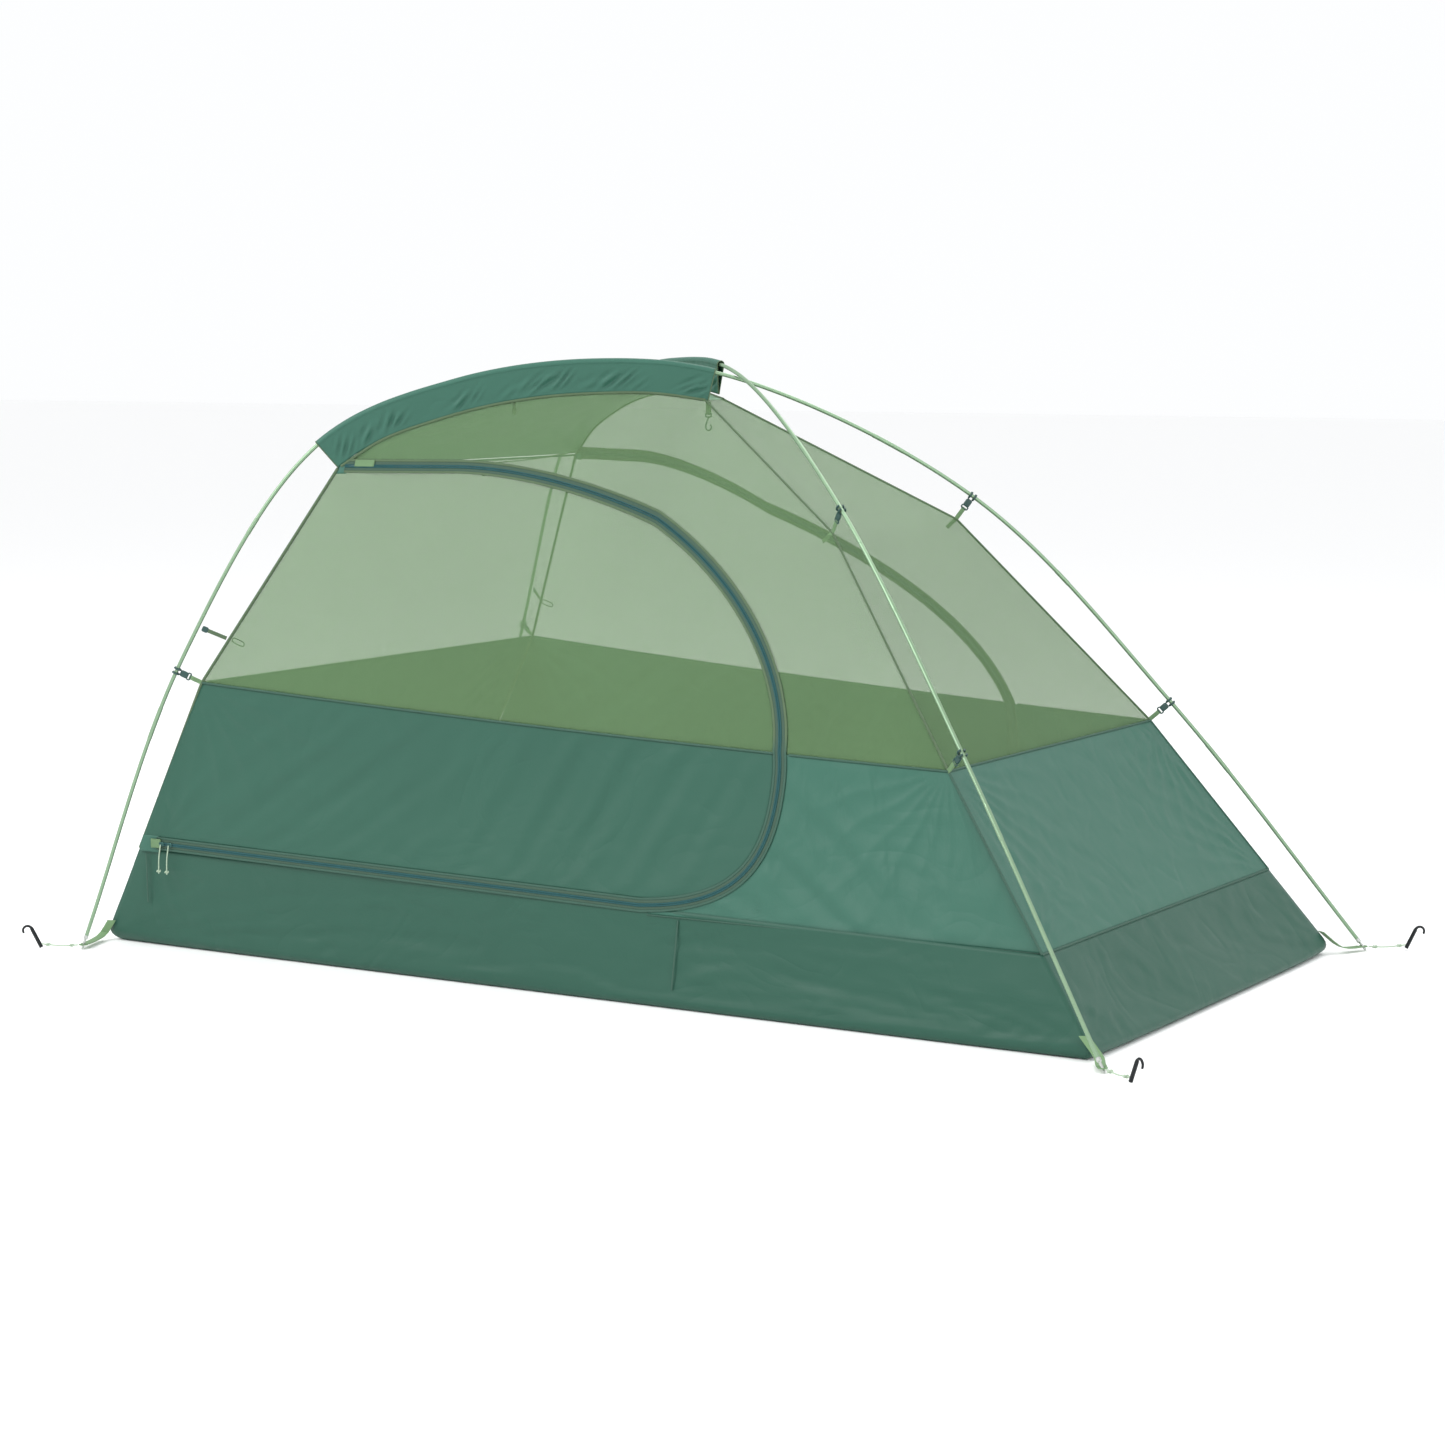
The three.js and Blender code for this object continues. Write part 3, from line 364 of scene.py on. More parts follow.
# ---------------------------------------------------------------- ground and light
# A pale flat floor that reaches far past the tent, a large soft light from the front left and
# above, weaker ones from the right and from behind, and an even pale sky.

floor_mesh = bpy.data.meshes.new("studio_floor")
floor_mesh.from_pydata([(-40, -40, 0), (40, -40, 0), (40, 40, 0), (-40, 40, 0)], [], [(0, 1, 2, 3)])
studio_floor = bpy.data.objects.new("studio_floor", floor_mesh)
bpy.context.scene.collection.objects.link(studio_floor)
floor_mesh.materials.append(new_material("floor paper", (0.97, 0.97, 0.97, 1), 0.9)[0])
studio_floor.location.z = -0.0005

sky = bpy.data.worlds.new("pale sky")
bpy.context.scene.world = sky
sky.use_nodes = True
fill(sky.node_tree.nodes["Background"], Color=(0.985, 0.993, 1, 1), Strength=1.0)


def soft_light(name, place, target, size, power):
    """A square area light that faces a target."""
    lamp = bpy.data.objects.new(name, bpy.data.lights.new(name, "AREA"))
    bpy.context.scene.collection.objects.link(lamp)
    lamp.data.size = size
    lamp.data.energy = power
    lamp.location = place
    away = np.array(place, float) - np.array(target, float)
    yaw = math.atan2(away[0], -away[1])
    tilt = math.atan2(math.hypot(away[0], away[1]), away[2])
    lamp.rotation_euler = (tilt, 0, yaw)


bpy.context.scene.view_settings.view_transform = "Standard"
soft_light("key light", (-2.6, -4.2, 4.6), (0, 0, 0.5), 3.2, 215)
soft_light("fill light", (5.2, -3.0, 3.0), (0, 0, 0.5), 3.5, 85)
soft_light("top light", (0.5, 2.5, 5.0), (0, 0, 0.7), 3.0, 90)

# ---------------------------------------------------------------- poles
# Two bent aluminium poles of shock-corded tube, anodised light green. Each solid section is
# two real ones, so a swaged ferrule joint shows at its middle and at its ends.

POLE_RADIUS = 0.0043
FERRULE_STEP = 0.0005
FERRULE_LENGTH = 0.034
RING_GAP = 0.005  # rings of a tube's corners are at least this far apart along X


def corners_of(*nodes):
    """All corners of CAD nodes, each once."""
    found = []
    for node in nodes:
        mesh = frame["nodes"][node].data
        flat = np.empty(len(mesh.vertices) * 3)
        mesh.vertices.foreach_get("co", flat)
        found.append(flat.reshape(-1, 3))
    return np.unique(np.concatenate(found).round(6), axis=0)


def slices(points, gap=RING_GAP):
    """Splits points into groups along X, from the highest X down, wherever a gap is wide."""
    points = points[np.argsort(-points[:, 0])]
    breaks = np.flatnonzero(-np.diff(points[:, 0]) > gap) + 1
    return np.split(points, breaks)


def pole_line(letter):
    """A pole's centre line: the middle of each ring of its tubes' corners, foot end first."""
    rings = slices(corners_of(*[f"pole_{letter}_section_{i}" for i in range(1, 5)]))
    return smooth_line([ring.mean(axis=0) for ring in rings], 1200)


POLES = {"a": pole_line("a"), "b": pole_line("b")}
anodised, nodes, links, shader, place = tinted("anodised green", linear(132, 160, 130), 0.3, 30,
                                               0.18, 0.55)
grain = fill(nodes.new("ShaderNodeTexNoise"), Scale=260)
stretch = fill(nodes.new("ShaderNodeMapping"), Scale=(0.08, 0.3, 1))
links.new(place.outputs["Object"], stretch.inputs["Vector"])
links.new(stretch.outputs["Vector"], grain.inputs["Vector"])
rough = fill(nodes.new("ShaderNodeMapRange"), To_Min=0.22, To_Max=0.42)
links.new(grain.outputs["Fac"], rough.inputs["Value"])
links.new(rough.outputs["Result"], shader.inputs["Roughness"])

for letter, line in POLES.items():
    for i in range(4):
        low, high = len(line) * i // 4, len(line) * (i + 1) // 4
        part = line[low:high + 1] if i < 3 else line[low:]
        run = run_of(part)
        near = np.abs(run - run[-1] / 2) < FERRULE_LENGTH
        near |= (run < FERRULE_LENGTH) & (i > 0)
        ring = np.where(near, POLE_RADIUS, POLE_RADIUS - FERRULE_STEP)
        piece = tube(f"pole_{letter}_tube_{i + 1}", part, ring, 20)
        finish_with(piece, anodised)
        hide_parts(f"pole_{letter}_section_{i + 1}")

turned, nodes, links, shader = new_material("turned aluminium", linear(188, 192, 188), 0.32, 0.95)
place = nodes.new("ShaderNodeTexCoord")
rings = fill(nodes.new("ShaderNodeTexWave"), Scale=420, Distortion=1.5)
rings.bands_direction = "Z"
links.new(place.outputs["Object"], rings.inputs["Vector"])
rough = fill(nodes.new("ShaderNodeMapRange"), To_Min=0.25, To_Max=0.45)
links.new(rings.outputs["Fac"], rough.inputs["Value"])
links.new(rough.outputs["Result"], shader.inputs["Roughness"])
for corner in ("foot_front", "foot_rear", "head_front", "head_rear"):
    finish_with(frame["nodes"][f"pole_tip_{corner}"], turned)

# ---------------------------------------------------------------- corners of the tent
# The cloth hangs from a few corner points: the floor's corners, the tops of the lower walls,
# the ends of the ridge seams and the upper clips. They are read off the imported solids, on the
# +Y side, and the panels are worked out between them.

SEAM_INSET = 0.003  # solid panels stop this far short of their seams


def farthest(node, direction):
    """The corner of a CAD node that lies farthest in a direction."""
    points = corners_of(node)
    return points[np.argmax(points @ np.array(direction, float))]


def widest_rows(node, inset):
    """The outermost corner on the +Y side of each row across a panel, lowest X first."""
    rows = slices(corners_of(node))[::-1]
    edge = [row[row[:, 1] > row[:, 1].max() - 1e-4].mean(axis=0) for row in rows]
    return np.array(edge) + (0, inset, 0)


floor_foot = farthest("bathtub_floor", (1, 0.5, -9))
floor_head = farthest("bathtub_floor", (-1, 0.5, -9))
tub_foot = farthest("lower_wall_foot", (0, 1, 5)) + (0, SEAM_INSET, 0)
tub_head = farthest("lower_wall_head", (0, 1, 5)) + (0, SEAM_INSET, 0)
canopy_head = farthest("mesh_wall_head", (0, 0.1, 5)) + (0, SEAM_INSET, 0)
ridge = widest_rows("roof_panel", 2 * SEAM_INSET)
canopy_foot = widest_rows("mesh_wall_foot", 2 * SEAM_INSET)[1]
upper_edge = np.array([tub_head, *ridge, canopy_foot, tub_foot])


def between(a, b, x):
    """The point of the straight line through a and b at a given x: y and z, as arrays."""
    t = (np.asarray(x) - a[0]) / (b[0] - a[0])
    return a[1] + (b[1] - a[1]) * t, a[2] + (b[2] - a[2]) * t


def tub_line(x):
    """Height of the top of the lower wall at x: straight, with a slight sag."""
    t = np.clip((np.asarray(x) - tub_head[0]) / (tub_foot[0] - tub_head[0]), 0, 1)
    return between(tub_head, tub_foot, x)[1] - 0.007 * 4 * t * (1 - t)


def half_width(x, z):
    """Half width of the long walls: straight up to the top of the lower wall, then straight on
    to the seam above, which is the ridge seam, or the seams down to the foot corner."""
    low, _ = between(floor_head, floor_foot, x)
    middle, height = between(tub_head, tub_foot, x)
    high = np.interp(x, upper_edge[:, 0], upper_edge[:, 1])
    top = np.interp(x, upper_edge[:, 0], upper_edge[:, 2])
    reach = np.maximum(top - height, 0.002)
    below = low + (middle - low) * z / height
    above = middle + (high - middle) * (z - height) / reach
    return np.where((z <= height) | (top - height < 0.002), below, above)


def creases(a, b, anchors, amplitude, count, fade, sharp=2.0):
    """Height of the folds of a pulled sheet at places (a, b): round each anchor they run
    outwards like rays, (1 - |sin(count * angle / 2)|) ** sharp, and fade as exp(-r / fade)."""
    total = np.zeros(np.broadcast(a, b).shape)
    for k, (a0, b0) in enumerate(anchors):
        angle = np.arctan2(b - b0, a - a0)
        r = np.hypot(a - a0, b - b0)
        wobble = 0.25 * np.sin(9 * r / fade + k) + 1.7 * k
        ray = (1 - np.abs(np.sin(count * angle / 2 + wobble))) ** sharp
        total += (ray - 0.3) * amplitude * np.exp(-r / fade) * r / (r + 0.25 * fade)
    return total


def ripples(a, b, amplitude, length, seed):
    """Shallow uneven waves: six sine waves of about one length, each warped by the next."""
    rng = np.random.default_rng(seed)
    total = np.zeros(np.broadcast(a, b).shape)
    for _ in range(6):
        turn, phase, stretch = rng.uniform(0, np.pi), rng.uniform(0, 6), rng.uniform(0.7, 1.6)
        run = (a * np.cos(turn) + b * np.sin(turn)) * 2 * np.pi * stretch / length
        total += np.sin(run + phase + 1.2 * np.sin(total * 2 + run * 0.37))
    return total * amplitude / 6


def pulled(a, b, degrees, amplitude, length, centre, reach):
    """Long soft folds in one direction, one every length or so, strongest round a centre."""
    turn = math.radians(degrees)
    over = -(a - centre[0]) * math.sin(turn) + (b - centre[1]) * math.cos(turn)
    run = (a - centre[0]) * math.cos(turn) + (b - centre[1]) * math.sin(turn)
    wave = np.sin(2 * np.pi * over / length + 0.9 * np.sin(run * 9)) + 0.5 * np.sin(
        2 * np.pi * over / (length * 0.57) + 1.3)
    return amplitude * wave * np.exp(-(over**2 + (run * 0.6) ** 2) / reach**2)


def at_edges(t, width=0.08):
    """0 at both ends of 0 to 1 and 1 between them, rising over a share of the way."""
    rise = np.clip(np.minimum(t, 1 - t) / width, 0, 1)
    return rise * rise * (3 - 2 * rise)


def belly(a, b):
    """1 in the middle of a panel and 0 along its edges, at shares a and b of its way across."""
    return np.sin(np.pi * a) * np.sin(np.pi * b)


# ---------------------------------------------------------------- finishes of the cloth
# Coated ripstop nylon for the lower walls, doors, roof and sleeves, a darker and heavier one
# for the floor tray, and knitted insect netting that lets most of the light through.

RIPSTOP = {"amount": 0.10, "size": 5, "fine": 900, "rib": 160, "rib_height": 2.0, "bump": 0.18,
           "distance": 0.00025}
SHEEN = {"Sheen_Weight": 0.03, "Sheen_Roughness": 0.4}
TAPE = {"size": 40, "fine": 600, "bump": 0.5, "distance": 0.0004}
TAPE_GREEN = linear(78, 100, 72)
WALL_TAPE_GREEN = linear(50, 86, 72)
coated_cloth = woven("coated nylon", linear(50, 97, 82), 0.5, **RIPSTOP, **SHEEN)
door_nylon = woven("door nylon", linear(39, 84, 69), 0.5, **RIPSTOP, **SHEEN)
tray_cloth = woven("heavy coated nylon", linear(35, 80, 65), 0.46, amount=0.10, size=4, fine=800,
                   rib=150, rib_height=1.5, bump=0.18, distance=0.00025, **SHEEN)
binding_tape = woven("seam tape", TAPE_GREEN, 0.7, amount=0.2, **TAPE)
wall_tape = woven("wall seam tape", WALL_TAPE_GREEN, 0.7, amount=0.15, **TAPE)


def crinkled(material):
    """Crisp shallow creases: bump from |noise - 0.5|, whose valleys are sharp lines."""
    nodes, links = material.node_tree.nodes, material.node_tree.links
    shader = fill(nodes["Principled BSDF"], Specular_IOR_Level=0.35)
    weave = shader.inputs["Normal"].links[0].from_socket
    place = nodes.new("ShaderNodeTexCoord")
    noise = fill(nodes.new("ShaderNodeTexNoise"), Scale=5.5, Detail=1.5, Distortion=1.4)
    middle = nodes.new("ShaderNodeMath")
    middle.operation = "SUBTRACT"
    middle.inputs[1].default_value = 0.5
    ridge_height = nodes.new("ShaderNodeMath")
    ridge_height.operation = "ABSOLUTE"
    relief = fill(nodes.new("ShaderNodeBump"), Strength=0.55, Distance=0.012)
    links.new(place.outputs["Object"], noise.inputs["Vector"])
    links.new(noise.outputs["Fac"], middle.inputs[0])
    links.new(middle.outputs[0], ridge_height.inputs[0])
    links.new(ridge_height.outputs[0], relief.inputs["Height"])
    links.new(weave, relief.inputs["Normal"])
    links.new(relief.outputs["Normal"], shader.inputs["Normal"])


for cloth in (coated_cloth, tray_cloth, door_nylon):
    crinkled(cloth)


def netting_material(name, colour, cover, hole):
    """Netting: a colour that lets light past everywhere, a little more in rows of tiny holes."""
    material, nodes, links, shader, place = tinted(name, colour, 0.8, 3, 0.10)
    cells = fill(nodes.new("ShaderNodeTexVoronoi"), Scale=900, Randomness=0.15)
    links.new(place.outputs["UV"], cells.inputs["Vector"])
    cover_range = fill(nodes.new("ShaderNodeMapRange"), From_Min=0.15, From_Max=0.55,
                       To_Min=cover - hole, To_Max=cover + hole)
    links.new(cells.outputs["Distance"], cover_range.inputs["Value"])
    links.new(cover_range.outputs["Result"], shader.inputs["Alpha"])
    return material


netting = netting_material("insect netting", linear(109, 143, 98), 0.345, 0.03)

# ---------------------------------------------------------------- floor tray
# The bathtub floor: one piece of heavy cloth that lies on the ground and rises at its edges to
# the rim seam, higher at the head end. The lower edge is rounded where the cloth turns up.

RIM_FOOT = 0.165
RIM_HEAD = 0.196
ROUND = 0.018  # radius of the turn from the ground to the wall
TRAY_THICKNESS = 0.0007
EDGE_LIFT = 0.012  # the cloth's edge stands this far off the ground at the pulled corners


def corner_at(floor_corner, tub_corner, z):
    """The point at height z on the straight corner seam through two points of it."""
    return floor_corner + (tub_corner - floor_corner) * z / tub_corner[2]


def tray_edge(t, z):
    """The rectangle round the tray at height z, as four straight runs, at places t of 0 to 4."""
    foot_x, foot_y, _ = corner_at(floor_foot, tub_foot, z[:, None]).T
    head_x, head_y, _ = corner_at(floor_head, tub_head, z[:, None]).T
    corner_x = np.stack([head_x, foot_x, foot_x, head_x, head_x])
    corner_y = np.stack([-head_y, -foot_y, foot_y, head_y, -head_y])
    i = np.minimum(t.astype(int), 3)
    share = t - i
    j = np.arange(len(t))
    x = corner_x[i, j] + (corner_x[i + 1, j] - corner_x[i, j]) * share
    y = corner_y[i, j] + (corner_y[i + 1, j] - corner_y[i, j]) * share
    return x, y


def tray_grid():
    """Columns run round the tray and rows run from the middle of the floor out to the edge,
    round the turn, and up the walls. The walls bow in between corners and ripple."""
    around = np.concatenate([np.linspace(k, k + 1, n, endpoint=False)
                             for k, n in enumerate((220, 110, 220, 110))])
    rim = np.interp(np.abs(np.minimum(around, 3 - around)), [0, 1, 1.5],
                    [RIM_HEAD, RIM_FOOT, RIM_FOOT])
    rim = np.where(around > 3, RIM_HEAD, rim)
    corner = np.abs(around - np.round(around))
    lift = EDGE_LIFT * np.exp(-corner / 0.06)
    rows = []
    for share in np.linspace(0.02, 0.97, 26):
        x, y = tray_edge(around, np.zeros(len(around)))
        bed = 0.0006 + ripples(x * share, y * share, 0.0012, 0.22, 3) * share
        rows.append(np.stack([x * share, y * share, np.maximum(bed, 0.0002)], axis=1))
    for turn in np.linspace(0.2, 1, 6):
        z = ROUND * (1 - math.cos(turn * math.pi / 2)) + lift * turn
        x, y = tray_edge(around, z)
        inward = ROUND * (1 - math.sin(turn * math.pi / 2)) / 0.6
        rows.append(np.stack([x * (1 - inward), y * (1 - inward), z + 0.0004], axis=1))
    for share in np.linspace(0.04, 1, 22):
        z = ROUND + lift + (rim - ROUND - lift) * share
        x, y = tray_edge(around, z)
        wave = ripples(around * 1.1, z * 2.2, 0.004, 0.5, 7) + creases(
            around, z * 3, [(k, 0.05) for k in range(5)], 0.008, 20, 0.16, 1.4)
        calm = min(1, 4 * (1 - share)) * (0.25 + 0.75 * np.clip(corner / 0.05, 0, 1))
        out = wave * calm - 0.006 * at_edges(corner * 2, 0.4) * math.sin(math.pi * share)
        long_side = (around < 1) | ((around >= 2) & (around < 3))
        y = y + np.where(long_side, np.sign(y) * out, 0)
        x = x + np.where(long_side, 0, np.sign(x) * out)
        rows.append(np.stack([x, y, z], axis=1))
    return np.array(rows)


CENTRE_HOLE = 0.1  # the hole in the middle is nowhere farther than this from the origin


def close_centre(piece):
    """Fills the small hole that is left in the middle of a grid that closes on itself."""
    work = bmesh.new()
    work.from_mesh(piece.data)
    rim_edges = [e for e in work.edges if e.is_boundary
                 and max(v.co.to_2d().length for v in e.verts) < CENTRE_HOLE]
    bmesh.ops.contextual_create(work, geom=rim_edges)
    work.to_mesh(piece.data)
    work.free()


tray = grid_piece("floor_tray", tray_grid(), wrap=True, body=None)
close_centre(tray)
shell = tray.modifiers.new("thickness", "SOLIDIFY")
shell.thickness = TRAY_THICKNESS
shell.offset = 0
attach(tray, "root")
finish_with(tray, tray_cloth)
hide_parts("bathtub_floor")

# ---------------------------------------------------------------- the door's edge
# Each door is a D lying on its back: level along the top, down round the foot side, and back
# along the bottom, just above the tray's rim. The zip follows this line on the wall.

ZIP_TOP_RUN = 0.225
ZIP_TOP_LIFT = 0.005
DOOR_INSET = 0.014
ZIP_FOOT_INSET = 0.320
ZIP_TURN = 0.261
ZIP_WIDEST_HEIGHT = 0.420
ZIP_BOTTOM_HEIGHT = 0.181
ZIP_BOTTOM_RISE = 0.028
ZIP_END_GAP = 0.042
ZIP_HALF_WIDTH = 0.013
TAPE_LAP = 0.002  # the cloth beside the zip reaches this far under its tapes
TOP_POINTS, SIDE_POINTS, TURN_POINTS, BOTTOM_POINTS = 30, 129, 69, 140  # along the zip's line


def bezier(a, b, c, d, count):
    """Points of a cubic Bezier curve."""
    t = np.linspace(0, 1, count)[:, None]
    return (1 - t)**3 * a + 3 * t * (1 - t)**2 * b + 3 * t**2 * (1 - t) * c + t**3 * d


def seam_x(z):
    """X of the head corner seam at height z: up the lower wall and then up the netting."""
    return np.interp(z, [floor_head[2], tub_head[2], canopy_head[2]],
                     [floor_head[0], tub_head[0], canopy_head[0]])


top = np.array([canopy_head[0] + DOOR_INSET, canopy_head[2] + ZIP_TOP_LIFT])
top_end = np.array([canopy_head[0] + ZIP_TOP_RUN, top[1]])
widest = np.array([tub_foot[0] - ZIP_FOOT_INSET, ZIP_WIDEST_HEIGHT])
bottom_end = np.array([widest[0] - ZIP_TURN, ZIP_BOTTOM_HEIGHT])
start_height = ZIP_BOTTOM_HEIGHT + ZIP_BOTTOM_RISE
start = np.array([seam_x(start_height) + ZIP_END_GAP, start_height])
wide, high, drop = widest[0] - top_end[0], top[1] - widest[1], widest[1] - bottom_end[1]
zip_line = np.concatenate([
    np.linspace(top, top_end, TOP_POINTS, endpoint=False),
    bezier(top_end, top_end + (wide * 0.35, -high * 0.01), (widest[0], widest[1] + high * 0.56),
           widest, SIDE_POINTS + 1)[:-1],
    bezier(widest, widest - (0, drop * 0.62), bottom_end + (ZIP_TURN - drop * 0.25, drop * 0.05),
           bottom_end, TURN_POINTS + 1)[:-1],
    np.linspace(bottom_end, start, BOTTOM_POINTS),
])


def zip_side(distance):
    """The zip's line moved away from the door by a distance, in x and z."""
    along = unit(np.gradient(zip_line, axis=0))
    return zip_line + np.stack([-along[:, 1], along[:, 0]], axis=1) * distance


def on_wall(x, z, out=0.0, sign=-1):
    """Points of a long wall at x and z, moved outwards by out; sign -1 is the front wall."""
    return np.stack(np.broadcast_arrays(x, sign * (half_width(x, z) + out), z), axis=-1)


def edge_x(z, distance):
    """X of the foot side of the door's edge at height z, at a distance from the zip's line."""
    line = zip_side(distance)
    part = line[:-BOTTOM_POINTS - 1]
    order = np.argsort(part[:, 1])
    return np.interp(z, part[order, 1], part[order, 0])


# ---------------------------------------------------------------- lower walls
# Coated cloth from the tray's rim seam to the seam below the netting: past the door on the long
# sides, and right across at both ends. Creases run out from the corners that the clips pull.


CLOTH_THICKNESS = 0.0006


def panel(name, grid, thickness, material, node):
    """A sheet over a grid, in place of a CAD node."""
    piece = grid_piece(name, grid, thickness=thickness)
    finish_with(piece, material)
    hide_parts(node)


def lower_wall_grid(sign):
    """Rows go up from the rim; each row runs from the door's edge to the foot corner seam."""
    v = np.linspace(0, 1, 70)[:, None]
    u = np.linspace(0, 1, 110)[None, :]
    z_left = RIM_FOOT + (tub_line(widest[0]) - RIM_FOOT) * v
    z_right = RIM_FOOT + (tub_foot[2] - RIM_FOOT) * v
    x_left = np.maximum(edge_x(z_left, ZIP_HALF_WIDTH - TAPE_LAP), bottom_end[0] + 0.02)
    x_right = floor_foot[0] + (tub_foot[0] - floor_foot[0]) * z_right / tub_foot[2]
    x = x_left + (x_right - x_left) * u
    z = RIM_FOOT + (tub_line(x) - RIM_FOOT) * v
    fold = creases(x, z, [(tub_foot[0], tub_foot[2]), (floor_foot[0], 0.05)], 0.006, 22, 0.20, 1.3)
    fold += ripples(x, z, 0.003, 0.30, 11) + pulled(x, z, -35, 0.0028, 0.085, (0.45, 0.27), 0.16)
    out = fold * at_edges(u, 0.06) * at_edges(v, 0.08) - 0.006 * belly(u, v)
    return on_wall(x, z, out, sign)


for side_name, sign in SIDES.items():
    panel(f"lower_wall_cloth_{side_name}", lower_wall_grid(sign), CLOTH_THICKNESS,
          coated_cloth, f"lower_wall_{side_name}")


def end_grid(edge, out_dir, rows, columns, amplitude, seed, hollow):
    """A panel across the tent between mirrored points of an edge line, hollow in its middle,
    with folds laid off along out_dir that run out from its four corners."""
    v = np.linspace(0, 1, rows)
    length = run_of(edge)[-1]
    line = points_at(edge, v * length)
    anchors = [(s * y, b) for s in (-1, 1) for y, b in ((edge[0][1], 0), (edge[-1][1], length))]
    u = np.linspace(-1, 1, columns)
    grid = np.stack([
        np.repeat(line[:, 0:1], columns, axis=1), line[:, 1:2] * u[None, :],
        np.repeat(line[:, 2:3], columns, axis=1)], axis=-1)
    height = v[:, None] * length
    fold = creases(grid[..., 1], height, anchors, amplitude, 26, 0.2, 1.3)
    fold += ripples(grid[..., 1], height, amplitude * 0.25, 0.28, seed)
    share = (u[None, :] + 1) / 2
    calm = at_edges(share, 0.06) * at_edges(v[:, None], 0.08)
    out = fold * calm - hollow * belly(share, v[:, None])
    return grid + out[..., None] * np.array(out_dir)


OUT_FOOT = (0.8, 0, 0.6)
OUT_HEAD = (-0.9, 0, 0.44)
rim_foot = corner_at(floor_foot, tub_foot, RIM_FOOT)
rim_head = corner_at(floor_head, tub_head, RIM_HEAD)
for name, edge, out_dir in (("foot", [rim_foot, tub_foot], OUT_FOOT),
                            ("head", [rim_head, tub_head], OUT_HEAD)):
    panel(f"lower_wall_cloth_{name}", end_grid(np.array(edge), out_dir, 60, 130, 0.0065, 21, 0.006),
          CLOTH_THICKNESS, coated_cloth, f"lower_wall_{name}")

# ---------------------------------------------------------------- netting
# Insect netting above the lower walls. It is cut a little hollow, so it draws in between the
# seams. The end panels are one piece each; the long sides end at the door's edge.


NETTING_THICKNESS = 0.0004


def netting_grid(sign):
    """Rows go from the door's edge out to the seams above and beside it."""
    inner = zip_side(ZIP_HALF_WIDTH - TAPE_LAP)
    keep = (inner[:, 1] > tub_line(inner[:, 0])) & (np.arange(len(inner)) <= TOP_POINTS + SIDE_POINTS)
    inner = inner[keep]
    inner = np.concatenate([[[canopy_head[0], inner[0, 1]]], inner,
                            [[edge_x(tub_line(widest[0]), ZIP_HALF_WIDTH), tub_line(widest[0])]]])
    outer = np.array([canopy_head, *ridge, canopy_foot, tub_foot])[:, [0, 2]]
    share = np.linspace(0, 1, 150)
    a, b = (points_at(line, share * run_of(line)[-1]) for line in (inner, outer))
    v = np.linspace(0, 1, 46)[:, None, None]
    flat = a[None] * (1 - v) + b[None] * v
    x, z = flat[..., 0], flat[..., 1]
    hollow = -0.010 * belly(v[..., 0], share[None, :])
    fold = creases(x, z, [(canopy_foot[0], canopy_foot[2]), (tub_foot[0], tub_foot[2]),
                          (0.40, 0.47)], 0.006, 30, 0.16, 1.2)
    out = hollow + fold * at_edges(v[..., 0], 0.1) * at_edges(share, 0.04)[None, :]
    return on_wall(x, z, out, sign)


for side_name, sign in SIDES.items():
    panel(f"netting_{side_name}", netting_grid(sign), NETTING_THICKNESS,
          netting, f"mesh_wall_{side_name}")
for name, edge, out_dir in (("foot", [tub_foot, canopy_foot, ridge[-1]], OUT_FOOT),
                            ("head", [tub_head, canopy_head], OUT_HEAD)):
    panel(f"netting_{name}", end_grid(np.array(edge), out_dir, 70, 90, 0.005, 31, 0.012),
          NETTING_THICKNESS, netting,
          f"mesh_wall_{name}")
